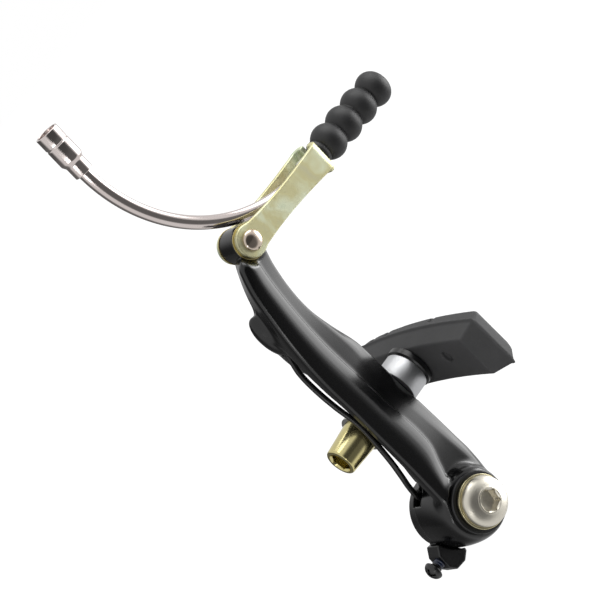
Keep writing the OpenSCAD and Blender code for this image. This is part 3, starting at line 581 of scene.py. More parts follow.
def arm_field(fillet):
    """Distance to the forged arm: the lofted section, the bell-shaped boss, the spring's ear and
    the top boss run together with fillets, less the bores, seats, slot and recesses."""
    def field(p):
        x, y, z = p.T
        hub, top = np.hypot(x, z), np.hypot(x - RIVET_X, z - RIVET_Z)
        post = np.hypot(y - POST_Y, z - POST_Z)
        d = outline(x, y, arm_section(z))
        d = soft_max(d, z - 0.99 * RIVET_Z, 2.2)
        d = np.maximum(d, -0.06 * RIVET_Z - z)
        d = cut(d, np.maximum(hub - HOUSING_R - 0.5, BOSS_REAR_Y - y), 0.4)
        scoop = np.maximum((top - 6.9 + 2.6 * (y + 18.2) / 4.4) * 0.86, y + 13.8)
        d = cut(d, scoop, 1.0)
        q = (p - np.array(LUG)) / LUG_HALF
        k0, k1 = np.linalg.norm(q, axis=1), np.linalg.norm(q / LUG_HALF, axis=1)
        d = soft_min(d, k0 * (k0 - 1) / np.maximum(k1, 1e-6), 2.6)
        d = soft_min(d, outline(hub, y, BOSS_BELL), fillet)
        d = soft_min(d, drum(top, y, TOP_BOSS_R, TOP_BOSS_FRONT_Y, TOP_BOSS_REAR_Y, 0.4), 0.5)
        d = cut(d, drum(hub, y, BOSS_FRONT_R + 0.4, -21, BOSS_FRONT_Y), 0.3)
        d = cut(d, hub - SLEEVE_R, 0.2)
        d = cut(d, np.maximum(hub - SPRING_RECESS_R, SPRING_RECESS_Y - y), 0.3)
        d = cut(d, top - RIVET_BORE_R, 0.2)
        slot = np.hypot(y - POST_Y, np.maximum(np.abs(z - POST_Z) - SLOT_REACH, 0)) - SLOT_R
        d = cut(d, slot, 0.4)
        d = cut(d, np.maximum(post - SEAT_R, x - SEAT_OUT_X), 0.5)
        d = cut(d, np.maximum(post - SEAT_R, SEAT_IN_X - x), 0.3)
        hole = np.hypot(x - LUG[0], y - LUG[1]) - LEAD_R
        d = cut(d, np.maximum(hole, np.maximum(LUG[2] - LEAD_DEPTH - z, z - LUG[2] - 1.5)), 0.2)
        return cut(d, block(p, (-6.4, -7, 3.4), (-1.8, -2, 11.4)), 0.4)
    return field


class BRAKE_OT_arm(Operator):
    """Builds the forged arm."""
    bl_idname = "brake.arm"
    bl_label = "Arm"

    def execute(self, context):
        colours, sizes = context.scene.brake_colours, context.scene.brake_sizes
        step = 0.36
        field = arm_field(sizes.arm_fillet / MM)
        arm = skinned("arm", field, (-11.4, -18.6, -11.4), (14.6, -1.2, 90), step)
        paint = black_paint(tuple(colours.paint), sizes.peel / MM)
        put(arm, "arm", paint, ["brake_arm"])
        return {"FINISHED"}


# The pivot
class BRAKE_OT_pivot(Operator):
    """Builds the sleeve's collar, the washer and the button-head bolt, and repaints the bush."""
    bl_idname = "brake.pivot"
    bl_label = "Pivot"

    def execute(self, context):
        colours = context.scene.brake_colours
        front = BOSS_FRONT_Y - COLLAR_T
        sleeve = turned("sleeve", rounded([
            [SLEEVE_BORE_R, front], [COLLAR_R, front], [COLLAR_R, BOSS_FRONT_Y], [SLEEVE_R, BOSS_FRONT_Y],
            [SLEEVE_R, SLEEVE_REAR_Y], [SLEEVE_BORE_R, SLEEVE_REAR_Y]], 0.45), ROUND_Y)
        put(sleeve, "arm", satin_plastic("black_acetal", srgb("#151516"), 0.38),
            ["bearing_sleeve"])
        washer = turned("washer", rounded([
            [WASHER_BORE_R, 0], [WASHER_R, 0], [WASHER_R, WASHER_T], [WASHER_BORE_R, WASHER_T]], 0.22),
            moved(0, WASHER_FRONT_Y, 0) @ ROUND_Y)
        put(washer, "frame_side", plated("yellow_zinc_washer", srgb("#d2c48c"), 0.25, srgb("#c9c4ae")),
            ["bolt_washer"])
        a = np.radians(np.linspace(0, 66.5, 14))
        dome = np.stack([HEAD_R - (HEAD_R - 3.35) * (1 - np.cos(a)) * 1.6,
                         -0.9 - 2.25 * np.sin(a) / np.sin(a[-1]), 0 * a], 1)
        top = -HEAD_H
        profile = np.concatenate([
            rounded([[3.25, 0.0, 0], [HEAD_R, 0.0, 0], [HEAD_R, -0.9, 0]], 0.3)[5:10], dome,
            [[3.36, top + 0.2, 0], [3.32, top + 0.06, 0], [3.2, top, 0], [2.98, top, 0],
             [2.88, top + 0.06, 0.1], [2.52, top + 0.38, 0.98], [HEX_HALF, top + 0.5, 1],
             [HEX_HALF, -0.75, 1], [2.42, -0.62, 1],
             [1.6, -0.5, 0.2], [0, -0.15, 0], [0, 10, 0], [2.5, 10, 0], [3, 9.5, 0], [3, 3.9, 0],
             [3.25, 3.6, 0], [3.25, 0, 0]]])
        bolt = turned("bolt", profile, moved(0, WASHER_FRONT_Y, 0) @ ROUND_Y, 144, 14, 28)
        put(bolt, "frame_side", brushed("stainless_steel", tuple(colours.steel), 0.36, (1, 1, 1), 0.0006),
            ["pivot_bolt"])
        repaint("pivot_bush", plated("ground_steel", srgb("#c4c1b8"), 0.3))
        return {"FINISHED"}


# The spring
WALL_FRONT_Y, PEG_Z, PEG_R = -3.8, 7.2, 1.2
COIL_TURNS, COIL_END_DEG, COIL_REAR_Y, COIL_LEN = 2.25, 118, -2.25, 3.3
SPRING_LEG = [[-4.3, -4.95, 8.7], [-4.9, -6.6, 12.6], [-5.6, -9.6, 17], [-5.95, -12, 21.8],
              [-5.9, -13.1, 26.4], [-5.5, -13.25, 31.2], [-5.3, -13.0, 36], [-5.6, -11.9, 42],
              [-5.5, -10.8, 48], [-4.7, -9.6, 53.5], [LUG[0], LUG[1], LUG[2] - 6.6],
              [LUG[0], LUG[1], LUG[2] + 0.5]]
EAR = [[-5.4, -7.6], [-5.9, -9.4], [-8.2, -10.7], [-11.2, -10.3], [-12.6, -8.3],
       [-12.4, -4.6], [-10.6, -2.4], [-8.2, -3.0]]


def housing_field(p):
    """Distance to the spring's housing: a walled ring, its faceted ear and its peg, less the
    screw's hole and the wire's way out."""
    x, y, z = p.T
    hub = np.hypot(x, z)
    inner = HOUSING_R - 1.2
    wall = [[5, -0.3], [HOUSING_R - 0.4, -0.3], [HOUSING_R, -0.7], [HOUSING_R, WALL_FRONT_Y],
            [inner, WALL_FRONT_Y], [inner, -1.3], [5, -1.3]]
    d = outline(hub, y, wall)
    ear = soft_max(outline(x, z, EAR), np.maximum(-6 - y, y + 0.4), 0.5)
    ear = cut(ear, np.maximum(hub - BOSS_R - 0.3, y - WALL_FRONT_Y), 0.2)
    ear = cut(ear, np.maximum(hub - HOUSING_R + 0.3, WALL_FRONT_Y - y), 0.2)
    d = soft_min(d, ear, 0.4)
    d = soft_min(d, drum(np.hypot(x, z - PEG_Z), y, PEG_R, -0.8, 2.7, 0.4), 0.3)
    s = carried(p, np.linalg.inv(AT_SCREW))
    d = cut(d, np.maximum(np.hypot(s[:, 0], s[:, 1]) - SCREW_R - 0.05, -1 - s[:, 2]), 0.15)
    return cut(d, block(p, (-6.2, -4.8, 5.2), (-2.4, -2.6, 11.2)), 0.2)


def thread(name, radius, depth, pitch, low, high, place):
    """Screw thread as one grid: the radius falls by depth in a triangle wave of the place along
    the axis less the turn's share of a pitch, and fades out at both ends."""
    t = np.linspace(low, high, int((high - low) / pitch * 10))[:, None]
    a = np.linspace(0, 2 * np.pi, 40, endpoint=False)[None, :]
    wave = np.abs(((t / pitch - a / (2 * np.pi)) % 1) * 2 - 1)
    fade = np.clip(np.minimum(t - low, high - t) / pitch, 0, 1)
    r = radius - depth * wave * fade - 0.35 * (1 - fade)
    grid = np.stack(np.broadcast_arrays(r * np.cos(a), r * np.sin(a), t), -1)
    cap = np.zeros((1, 40, 3))
    grid = np.concatenate([cap + (0, 0, low), grid, cap + (0, 0, high)])
    return mesh_object(name, carried(grid.reshape(-1, 3), place), wrapped(grid, False))


def screw_head(p):
    """Distance to the pan head with its cross slots."""
    s = carried(p, np.linalg.inv(AT_SCREW))
    t = s[:, 2]
    ball = np.linalg.norm(s / (SCREW_HEAD_R, SCREW_HEAD_R, 1.9) - (0, 0, -0.02), axis=1) - 1
    d = soft_max(2.05 * ball, t, 0.25)
    for turn in (20, 110):
        c, n = math.cos(math.radians(turn)), math.sin(math.radians(turn))
        along, across = s[:, 0] * c + s[:, 1] * n, -s[:, 0] * n + s[:, 1] * c
        d = cut(d, np.maximum(np.maximum(np.abs(along) - 1.6, np.abs(across) - 0.33), t + 0.75), 0.12)
    return d


def joined(first, *rest):
    """One object from several."""
    with bpy.context.temp_override(active_object=first, selected_editable_objects=[first, *rest],
                                   selected_objects=[first, *rest]):
        bpy.ops.object.join()
    return first


class BRAKE_OT_spring(Operator):
    """Builds the spring's housing, the return spring and its tension screw."""
    bl_idname = "brake.spring"
    bl_label = "Spring"

    def execute(self, context):
        housing = skinned("housing", housing_field, (-13.5, -6.8, -11.6), (10.4, 3.4, 10.4),
                          0.24)
        put(housing, "frame_side", satin_plastic("black_nylon", srgb("#131314"), 0.3),
            ["spring_housing"])
        share = np.linspace(0, 1, 111)
        a = np.radians(COIL_END_DEG + 360 * COIL_TURNS * (share - 1))
        coil = np.stack([COIL_R * np.cos(a), COIL_REAR_Y - COIL_LEN * share, COIL_R * np.sin(a)], 1)
        leg = catmull([coil[-1], *SPRING_LEG], np.linspace(0, 1, 140)[1:])
        spring = drawn("spring", np.concatenate([coil, leg]), WIRE_R)
        put(spring, None, satin_plastic("black_dipped_spring_steel", srgb("#101011"), 0.26),
            ["return_spring"])
        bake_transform(spring)
        head = skinned("screw", screw_head, (-18, -7, -10), (-13.6, 0, -2.5), 0.16)
        shank = thread("shank", SCREW_R, 0.28, 0.7, -0.1, SCREW_LEN, AT_SCREW)
        put(joined(head, shank), "screw", screw_finish(), ["tension_screw"])
        return {"FINISHED"}


def screw_finish():
    """Black-oxide steel: dark and slightly oily, with a dark blue nylon locking patch moulded
    over the middle of the thread, found by the place along X."""
    def build(tree, shader, spot):
        x = add(tree, "ShaderNodeSeparateXYZ", inputs={"Vector": spot}).outputs[0]
        place = add(tree, "ShaderNodeMapRange",
                    inputs={"Value": x, "From Min": -13.6 * MM, "From Max": -11.6 * MM})
        colour = banded(tree, place.outputs[0], [(0.0, "#121213"), (0.05, "#17233f"), (0.9, "#17233f"),
                                                (1.0, "#121213")])
        tree.links.new(colour, shader.inputs["Base Color"])
        noise = grain(tree, shader, spot, 0.4, 0.006, 0.5, 2.0)
        tree.links.new(ranged(tree, noise.outputs[0], 0.18, 0.36), shader.inputs["Roughness"])
    return finish("black_oxide_with_locking_patch", {"IOR": 1.6}, build)


# The link
WAIST_U, WAIST_HALF = 13, 3.05
KEYHOLE_R, KEYHOLE_SLOT = 1.97, 1.5


def leg_half(u):
    """Half width of a leg at u from the rivet: a waist that widens with the square of the
    distance from it, both ways."""
    out, back = np.maximum(0, u - WAIST_U) / (LINK_LEN - WAIST_U), np.maximum(0, WAIST_U - u) / WAIST_U
    return WAIST_HALF + 0.95 * out**2 + 0.9 * back**2


def link_field(p):
    """Distance to the folded link: the legs' side outline met with the plan of a sheet folded
    round the end, less the noodle's keyhole."""
    q = carried(p, np.linalg.inv(AT_LINK))
    u, y, v = q.T
    edge = np.linspace(LEG_END_R * math.cos(math.radians(68)), LINK_LEN + 0.5, 30)
    side = outline(u, v, np.concatenate([np.stack([edge, leg_half(edge)], 1),
                                         np.stack([edge, -leg_half(edge)], 1)[::-1]]))
    side = soft_min(side, np.hypot(u, v) - LEG_END_R, 0.4)
    tongue = np.maximum(np.abs(y) - 2.6, np.maximum(LINK_LEN - SHEET_T - u, np.abs(v + 3.9) - 1.0))
    side = soft_min(side, tongue, 0.4)

    def box(reach, half, r):
        a, b = np.abs(u - reach + 40) - 40 + r, np.abs(y) - half + r
        return np.hypot(np.maximum(a, 0), np.maximum(b, 0)) + np.minimum(np.maximum(a, b), 0) - r

    plan = np.maximum(box(LINK_LEN, LEG_GAP / 2 + SHEET_T, 2.3), -box(LINK_LEN - SHEET_T, LEG_GAP / 2, 0.9))
    d = soft_max(side, plan, 0.35)
    key = np.minimum(np.hypot(y, v) - KEYHOLE_R, np.maximum(np.abs(y) - KEYHOLE_SLOT, -v))
    return cut(d, np.maximum(key, 27 - u), 0.25)


class BRAKE_OT_link(Operator):
    """Builds the folded link with its washers and rivet."""
    bl_idname = "brake.link"
    bl_label = "Link"

    def execute(self, context):
        colours = context.scene.brake_colours
        step = 0.2
        link = skinned("link", link_field, (3.5, -16.6, 76), (42, -4.4, 91), step)
        put(link, "link", chromated_zinc(tuple(colours.zinc)), ["noodle_link"])
        at = moved(RIVET_X, 0, RIVET_Z) @ ROUND_Y
        pair = [turned("link_washers", rounded([[2, y], [4.5, y], [4.5, y + 0.3], [2, y + 0.3]], 0.08), at)
                for y in (-14.35, -6.95)]
        put(joined(*pair), "arm", plated("brass_washer_plate", srgb("#d6c58d"), 0.25),
            ["link_washers"])
        half = LEG_GAP / 2 + SHEET_T
        a = np.radians(np.linspace(0, 90, 12))
        dome = np.stack([2.6 * np.cos(a), 0.25 + 1.05 * np.sin(a)], 1)
        profile = np.concatenate([[[2.0, half], [2.6, half]], dome + (0, half), [[0, -half - 1.3]],
                                  (dome * (1, -1) - (0, half))[::-1], [[2.6, -half], [2.0, -half]]])
        rivet = turned("rivet", profile, moved(RIVET_X, MID_Y, RIVET_Z) @ ROUND_Y)
        put(rivet, "arm", plated("nickelled_rivet", srgb("#cfc3b6"), 0.16, srgb("#d3bfae")),
            ["link_rivet"])
        return {"FINISHED"}


# The noodle
# Places along the link from its rivet where the tube ends, the nose starts and its neck lies
TUBE_U, NOSE_U, NECK_U, NECK_END_U = 28.9, 25.3, 29.65, 35.3
NOSE_R, NECK_R, NECK_BORE_R = 2.5, 1.82, 1.07


def noodle_path(start, tail):
    """The noodle's axis in the link's frame: straight, a quarter turn of BEND_R, and straight."""
    a = np.radians(np.linspace(0, 90, 70))
    bend = np.stack([BEND_START - BEND_R * np.sin(a), 0 * a, BEND_R * (1 - np.cos(a))], 1)
    straight = np.stack([np.linspace(start, BEND_START + 0.4, 6), np.zeros(6), np.zeros(6)], 1)
    end = bend[-1] + np.stack([np.zeros(5), np.zeros(5), np.linspace(0.4, tail, 5)], 1)
    return carried(np.concatenate([straight, bend, end]), AT_LINK)


class BRAKE_OT_noodle(Operator):
    """Builds the bent tube with its nose and ferrule, and repaints the liner."""
    bl_idname = "brake.noodle"
    bl_label = "Noodle"

    def execute(self, context):
        colours = context.scene.brake_colours
        chrome = plated("nickelled_tube", tuple(colours.chrome), 0.13, srgb("#d9cbc8"), 12)
        tube = drawn("noodle", noodle_path(TUBE_U, TAIL), NOODLE_R, NOODLE_R - NOODLE_WALL, 40)
        put(tube, "noodle", chrome, ["noodle_tube"])
        nose = turned("nose", rounded([
            [NOODLE_R, NOSE_U], [NOSE_R, NOSE_U], [NOSE_R, NECK_U], [NECK_R, NECK_U], [NECK_R, NECK_END_U],
            [NECK_BORE_R, NECK_END_U], [NECK_BORE_R, TUBE_U], [NOODLE_R, TUBE_U]], 0.3), AT_LINK @ ROUND_X)
        put(nose, "noodle", plated("bright_zinc", srgb("#dedcd6"), 0.2), ["noodle_nose"])
        at = AT_LINK @ moved(BEND_START - BEND_R, 0, BEND_R + TAIL - 4)
        ferrule = turned("ferrule", rounded([
            [1.72, 0], [2.5, 0], [2.52, 3.4], [3.1, 4.4], [3.1, 9], [2.9, 9.3], [3.1, 9.6], [3.1, 13],
            [2.55, 13], [2.55, 5], [1.4, 5], [1.4, 4], [1.72, 4]], 0.25), at)
        put(ferrule, "noodle", chrome, ["noodle_ferrule"])
        repaint("noodle_liner", satin_plastic("white_nylon", srgb("#e6e4dc"), 0.4))
        return {"FINISHED"}


class BRAKE_OT_boot(Operator):
    """Builds the bulged rubber boot. Its outer radius is a valley plus the height of a bulge times
    |sin| to the 0.75 of the place along a pitch. The last bulge closes to its mouth on a quarter
    ellipse."""
    bl_idname = "brake.boot"
    bl_label = "Boot"

    def execute(self, context):
        lead, pitch, valley, bulge = 1.7, 6.4, 3.15, 4.75
        tip = lead + 4 * pitch
        s = np.linspace(lead, tip, 150)
        out = valley + (bulge - valley) * np.abs(np.sin(np.pi * (s - lead) / pitch)) ** 0.75
        close = 1.6 + (bulge - 1.6) * np.sqrt(np.maximum(0, 1 - ((s - tip + pitch / 2) / (pitch / 2)) ** 2))
        out = np.where(s < tip - pitch / 2, out, close)
        outer = np.stack([out, s], 1)
        inner = np.stack([np.maximum(1.1, out - 1.0), s], 1)[(s > 4.6) & (s < tip - 0.6)][::-1]
        collar = [[1.87, 0], [3.2, 0], [3.42, 0.2], [3.5, 0.5], [3.45, 1.1]]
        profile = np.concatenate([collar, outer, [[1.1, tip]], inner, [[3.1, 4.4], [1.87, 4.2]]])
        boot = turned("boot", profile, AT_LINK @ moved(LINK_LEN + 0.3, 0, 0) @ ROUND_X, 72, 0, 60)
        put(boot, "noodle", rubber("boot_rubber_black", srgb("#1d1d1e"), 0.5, 0.6, 0.015),
            ["cable_boot"])
        return {"FINISHED"}


# The pad
PAD_GROOVES, GROOVE_W, GROOVE_DEPTH = (-7.6, 14.3, 22.4), 1.5, 2.4
MOULD_HOLE_S, MOULD_HOLE_RISE, MOULD_HOLE_R, MOULD_HOLE_DEPTH = -15.8, 0.6, 1.65, 1.3
POST_BORE_R, POST_BORE_DEPTH = 2.97, 2


def pad_field(p):
    """Distance to the moulded pad. A point's height above the rim's circle and its depth towards
    the rim are met with the section, its depth and its place along the rim with the plan, and
    the grooves, the moulding hole and the post's bore are taken out."""
    x, y, z = p.T
    s, rise = y - POST_Y, np.hypot(y - POST_Y, z - AXLE_Z) - RIM_R
    d = x - PAD_BACK_X
    x1, x2 = PAD_SHOE_T, PAD_SHOE_T + PAD_BLOCK_T
    upper = [[5.5, 0], [6, 0.5], [7.3, x1 - 0.7], [7.8, x1 - 0.2], [7.8, x1 + 0.2], [6.9, x1 + 0.5],
             [6.3, x2 - 0.9], [5.4, x2]]
    section = upper + [[-rise_at, depth] for rise_at, depth in upper[::-1]]
    plan = [[0, -PAD_FRONT + 1.2], [x1 - 0.4, -PAD_FRONT - 0.8], [x1 + 0.4, -PAD_FRONT - 0.8],
            [x2 - 1.8, -PAD_FRONT + 1.6], [x2, -PAD_FRONT + 4], [x2, PAD_REAR - 4],
            [x2 - 1.8, PAD_REAR - 1.6], [x1 + 0.4, PAD_REAR + 0.8], [x1 - 0.4, PAD_REAR + 0.8],
            [0, PAD_REAR - 1.2]]
    f = soft_max(outline(rise, d, section), outline(d, s, plan), 0.5)
    for start in PAD_GROOVES:
        groove = np.abs(s - start - GROOVE_W / 2) - GROOVE_W / 2
        f = cut(f, np.maximum(groove, x2 - GROOVE_DEPTH - d), 0.3)
    hole = np.hypot(s - MOULD_HOLE_S, z - AXLE_Z - RIM_R - MOULD_HOLE_RISE)
    f = cut(f, drum(hole, d, MOULD_HOLE_R, -2, MOULD_HOLE_DEPTH), 0.3)
    return cut(f, np.maximum(np.hypot(s, z - POST_Z) - POST_BORE_R, d - POST_BORE_DEPTH), 0.2)


class BRAKE_OT_pad(Operator):
    """Builds the moulded pad."""
    bl_idname = "brake.pad"
    bl_label = "Pad"

    def execute(self, context):
        colours, sizes = context.scene.brake_colours, context.scene.brake_sizes
        step = 0.3
        pad = skinned("pad", pad_field, (17.8, -37.2, 16), (30.6, 23.6, 39.5), step)
        grey = rubber("pad_rubber_grey", tuple(colours.rubber), 0.72, sizes.rubber_grain / MM, 0.03)
        put(pad, "arm", grey, ["brake_pad"])
        return {"FINISHED"}


BALL_R, HOLE_R = 9.0, 3.2


def sag(r):
    """Height of the washers' shared ball at radius r."""
    return np.sqrt(BALL_R**2 - np.asarray(r, float) ** 2)


def domed(r_out, thick):
    """Profile of a washer whose one face is a zone of the ball."""
    r = np.linspace(r_out, HOLE_R, 14)
    rim = thick - sag(HOLE_R) + sag(r_out)
    flat = [[HOLE_R, 0], [r_out - 0.15, 0], [r_out, 0.12]]
    return np.concatenate([flat, np.stack([r, rim + sag(r) - sag(r_out)], 1)])


def cupped(r_out, thick, edge):
    """Profile of a ring hollowed at one end by the same ball."""
    r = np.linspace(r_out - 0.25, HOLE_R, 14)
    return np.concatenate([[[HOLE_R, 0], [r_out - edge, 0], [r_out - edge * 0.3, edge * 0.3], [r_out, edge],
                            [r_out, thick - 0.25], [r_out - 0.07, thick - 0.07]],
                           np.stack([r, thick - sag(r) + sag(r_out - 0.25)], 1)])


class BRAKE_OT_pad_clamp(Operator):
    """Builds the pad's washers, spacer and nut, and repaints the post."""
    bl_idname = "brake.pad_clamp"
    bl_label = "Pad clamp"

    def execute(self, context):
        colours, sizes = context.scene.brake_colours, context.scene.brake_sizes
        edge = sizes.edge_round / MM
        facing_out = ROUND_X @ np.diag([1.0, -1, -1, 1])
        repaint("pad_post", plated("post_zinc", srgb("#c9c7c0"), 0.25))
        seat_t = PAD_BACK_X - SEAT_IN_X - SPACER_T + sag(HOLE_R) - sag(SPACER_R - 0.25)
        black = satin_plastic("black_oxide_washer", srgb("#111112"), 0.3)
        seat = turned("pad_seat", domed(SPACER_R + 0.35, seat_t),
                      moved(PAD_BACK_X, POST_Y, POST_Z) @ facing_out)
        put(seat, "arm", black, ["pad_seat_washer"])
        spacer = turned("spacer", cupped(SPACER_R, SPACER_T, 0.35),
                        moved(SEAT_IN_X, POST_Y, POST_Z) @ ROUND_X)
        put(spacer, "arm", brushed("turned_aluminium", srgb("#c6c7c9"), 0.42, (0.5, 1, 1), 0.012),
            ["inner_spacer"])
        dome = turned("outer_dome", domed(5.3, DOME_T - 0.2 + sag(HOLE_R) - sag(5.05)),
                      moved(SEAT_OUT_X, POST_Y, POST_Z) @ facing_out)
        put(dome, "arm", black, ["outer_dome_washer"])
        cup_t = SEAT_OUT_X - NUT_BASE_X - 1 - DOME_T + 0.2
        cup = turned("outer_cup", cupped(5.3, cup_t, 0.25), moved(NUT_BASE_X + 1, POST_Y, POST_Z) @ ROUND_X)
        zinc = plated("clear_zinc", srgb("#d3d2cd"), 0.24)
        put(cup, "arm", zinc, ["outer_cup_washer"])
        flat = turned("flat_washer", rounded([[HOLE_R, 0], [5.6, 0], [5.6, 1], [HOLE_R, 1]], edge),
                      moved(NUT_BASE_X, POST_Y, POST_Z) @ ROUND_X)
        put(flat, "arm", zinc, ["flat_washer"])
        profile = [[2.98, 0.0, 0], [2.9, 0.12, 0.05], [2.52, 0.5, 0.98], [HEX_HALF, 0.6, 1],
                   [HEX_HALF, 3.5, 1], [1.9, 3.7, 0.2], [0, 4.2, 0], [0, 4.9, 0], [2.97, 4.9, 0],
                   [2.97, NUT_LEN, 0], [NUT_BASE_R - 0.1, NUT_LEN, 0], [NUT_BASE_R, NUT_LEN - 0.1, 0],
                   [NUT_BASE_R, NUT_LEN - 0.5, 0], [NUT_END_R + 0.02, 0.5, 0],
                   [NUT_END_R - 0.04, 0.26, 0], [NUT_END_R - 0.2, 0.08, 0], [NUT_END_R - 0.42, 0, 0]]
        nut = turned("nut", profile, moved(NUT_BASE_X - NUT_LEN, POST_Y, POST_Z) @ ROUND_X, 144, 10, 28)
        yellow = plated("yellow_zinc_nut", tuple(colours.nut_zinc), 0.17, srgb("#cfc79a"))
        put(nut, "arm", yellow, ["pad_nut"])
        return {"FINISHED"}


# The stage
CAMERA_AT = (-0.2959490, -0.6325477, 0.2544085)
CAMERA_AXES = ((0.5423690, -0.4768585, -0.6916950), (0.7249997, -0.1503529, 0.6721380),
               (-0.4245132, -0.8660254, 0.2641756))
# Directions from the brake along the camera's axes: to the right, up and back to the lens
PHOTOGRAPHER, DARK_CORNER, LOW_BOX = (0.5, 0.02, 0.87), (-0.46, -0.62, -0.64), (0.80, 0.52, -0.30)
AIM = (0.006, -0.011, 0.045)
# Each lamp's place from AIM along the same axes, its size in metres and its watts
SOFT_BOXES = (("right", (0.47, 0.3, -0.16), (0.42, 0.36), 2.7),
              ("top", (-0.13, 0.56, 0.06), (0.52, 0.55), 1.9),
              ("low", (-0.05, -0.38, 0.44), (0.35, 0.2), 0.75))


def soft_box(name, place, aim, size, strength):
    """Area lamp of size (width, height) in metres at place, turned to aim."""
    lamp = bpy.data.lights.new(name, "AREA")
    lamp.shape, lamp.size, lamp.size_y, lamp.energy = "RECTANGLE", *size, strength
    obj = bpy.data.objects.new(name, lamp)
    bpy.context.scene.collection.objects.link(obj)
    obj.location = place
    obj.rotation_euler = (Vector(aim) - Vector(place)).to_track_quat("-Z", "Y").to_euler()
    return obj


def maths(tree, operation, first, second):
    """One step of arithmetic on two numbers or sockets."""
    return add(tree, "ShaderNodeMath", {"operation": operation}, {0: first, 1: second}).outputs[0]


def cone(tree, direction, axis, start, end, low, high):
    """Value that goes smoothly from low to high as the cosine between a direction and an axis,
    which is given in the camera's own axes, goes from start to end."""
    middle = sum((Vector(a) * share for a, share in zip(CAMERA_AXES, axis)), Vector())
    facing = add(tree, "ShaderNodeVectorMath", {"operation": "DOT_PRODUCT"}, {0: direction, 1: tuple(middle)})
    return add(tree, "ShaderNodeMapRange", {"interpolation_type": "SMOOTHSTEP"}, {
        "Value": facing.outputs["Value"], "From Min": start, "From Max": end,
        "To Min": low, "To Max": high}).outputs[0]


def room_level(tree, direction):
    """Brightness of the studio in a direction: pale, but dark in a cone of 33 to 52 degrees round
    a point beside the camera, where a photographer stands, and in a lower corner behind the brake.
    It is bright, with a soft edge, where a light box stands at the right. The black paint mirrors
    all three."""
    pale = cone(tree, direction, PHOTOGRAPHER, 0.62, 0.84, 0.8, 0.07)
    shade = cone(tree, direction, DARK_CORNER, 0.6, 0.9, 1.0, 0.12)
    lit = cone(tree, direction, LOW_BOX, 0.84, 0.97, 0.0, 3.6)
    return maths(tree, "ADD", maths(tree, "MULTIPLY", pale, shade), lit)


def aimed_camera():
    """A camera with a long lens, whose view from CAMERA_AT along CAMERA_AXES is the photograph's."""
    lens = bpy.data.cameras.new("camera")
    lens.lens, lens.sensor_width = 180, 36
    camera = bpy.data.objects.new("camera", lens)
    bpy.context.scene.collection.objects.link(camera)
    place = np.eye(4)
    place[:3, :3], place[:3, 3] = np.array(CAMERA_AXES).T, CAMERA_AT
    camera.matrix_world = Matrix(place.tolist())
    return camera


def white_floor():
    """Matt white floor just under the brake. The camera sees it nearly white with the brake's
    shadow on it, and metal and gloss mirror it as bright as the room in that direction."""
    z = cad_box[0][2] / MM - 0.3
    corners = np.array([[-900, -900, z], [900, -900, z], [900, 900, z], [-900, 900, z]])
    floor = mesh_object("floor", corners, [[0, 1, 2, 3]], weld=False)
    mat = bpy.data.materials.new("matt_white_floor")
    mat.use_nodes = True
    tree = mat.node_tree
    tree.nodes.clear()
    path = add(tree, "ShaderNodeLightPath")
    seen = maths(tree, "MAXIMUM", path.outputs["Is Camera Ray"], path.outputs["Is Transmission Ray"])
    matt = add(tree, "ShaderNodeBsdfDiffuse", inputs={"Color": (0.8, 0.8, 0.8, 1)})
    glow = add(tree, "ShaderNodeEmission", inputs={"Color": (1, 1, 1, 1), "Strength": 1.12})
    both = add(tree, "ShaderNodeMixShader",
               inputs={0: maths(tree, "MULTIPLY", seen, 0.9), 1: matt.outputs[0], 2: glow.outputs[0]})
    away = add(tree, "ShaderNodeVectorMath", {"operation": "SCALE"},
               {0: add(tree, "ShaderNodeNewGeometry").outputs["Incoming"], "Scale": -1.0})
    image = add(tree, "ShaderNodeEmission",
                inputs={"Color": (1, 1, 1, 1), "Strength": room_level(tree, away.outputs[0])})
    mirror = maths(tree, "MULTIPLY", path.outputs["Is Glossy Ray"], 0.9)
    last = add(tree, "ShaderNodeMixShader", inputs={0: mirror, 1: both.outputs[0], 2: image.outputs[0]})
    add(tree, "ShaderNodeOutputMaterial", inputs={"Surface": last.outputs[0]})
    floor.data.materials.append(mat)
    return floor


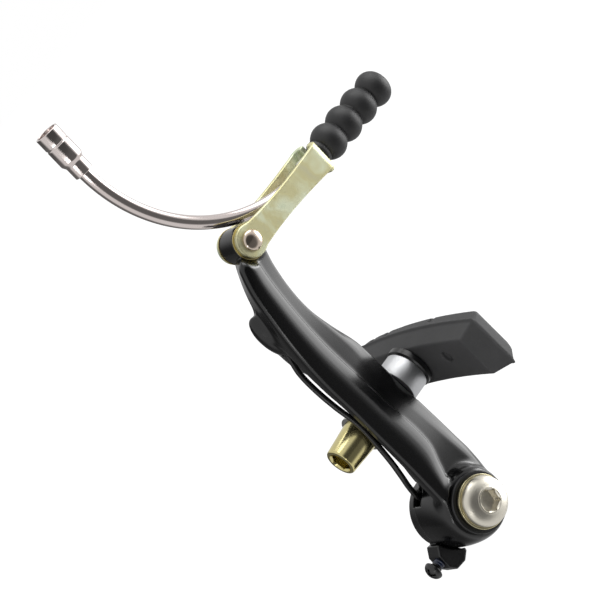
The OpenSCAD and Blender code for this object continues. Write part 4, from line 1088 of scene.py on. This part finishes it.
def studio_world():
    """White to the camera, and to every other ray as bright as the room in its direction."""
    world = bpy.data.worlds.new("studio")
    world.use_nodes = True
    tree = world.node_tree
    tree.nodes.clear()
    path = add(tree, "ShaderNodeLightPath")
    ray = add(tree, "ShaderNodeTexCoord").outputs["Generated"]
    level = add(tree, "ShaderNodeMix", {"data_type": "FLOAT"},
                {0: path.outputs["Is Camera Ray"], 2: room_level(tree, ray), 3: 1.0})
    light = add(tree, "ShaderNodeBackground", inputs={"Color": (1, 1, 1, 1), "Strength": level.outputs[0]})
    add(tree, "ShaderNodeOutputWorld", inputs={"Surface": light.outputs[0]})
    return world


class BRAKE_OT_stage(Operator):
    """Sets the camera, the floor, the world and the soft boxes."""
    bl_idname = "brake.stage"
    bl_label = "Stage"

    def execute(self, context):
        scene = context.scene
        scene.view_settings.view_transform = "Standard"
        scene.camera = aimed_camera()
        white_floor()
        scene.world = studio_world()
        right, up, back = (Vector(a) for a in CAMERA_AXES)
        for name, (r, u, b), size, strength in SOFT_BOXES:
            soft_box(name, Vector(AIM) + right * r + up * u + back * b, Vector(AIM), size, strength)
        return {"FINISHED"}


class BRAKE_PT_panel(Panel):
    """Lists the pieces and the values that may change."""
    bl_idname = "BRAKE_PT_panel"
    bl_label = "Brake arm"
    bl_space_type = "VIEW_3D"
    bl_region_type = "UI"
    bl_category = "Brake arm"

    def draw(self, context):
        for group in (context.scene.brake_colours, context.scene.brake_sizes):
            for key in group.__annotations__:
                self.layout.prop(group, key)
        for step in STEPS:
            self.layout.operator(step.bl_idname)


STEPS = (BRAKE_OT_stage, BRAKE_OT_arm, BRAKE_OT_pivot, BRAKE_OT_spring, BRAKE_OT_link, BRAKE_OT_noodle,
         BRAKE_OT_boot, BRAKE_OT_pad, BRAKE_OT_pad_clamp)
CLASSES = (BrakeColours, BrakeSizes, *STEPS, BRAKE_PT_panel)


def register():
    for made in CLASSES:
        bpy.utils.register_class(made)
    bpy.types.Scene.brake_colours = PointerProperty(type=BrakeColours)
    bpy.types.Scene.brake_sizes = PointerProperty(type=BrakeSizes)


def unregister():
    del bpy.types.Scene.brake_sizes
    del bpy.types.Scene.brake_colours
    for made in reversed(CLASSES):
        bpy.utils.unregister_class(made)


def main():
    """Registers the classes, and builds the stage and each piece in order."""
    register()
    bpy.ops.brake.stage()
    bpy.ops.brake.arm()
    bpy.ops.brake.pivot()
    bpy.ops.brake.spring()
    bpy.ops.brake.link()
    bpy.ops.brake.noodle()
    bpy.ops.brake.boot()
    bpy.ops.brake.pad()
    bpy.ops.brake.pad_clamp()


if __name__ == "__main__":
    main()
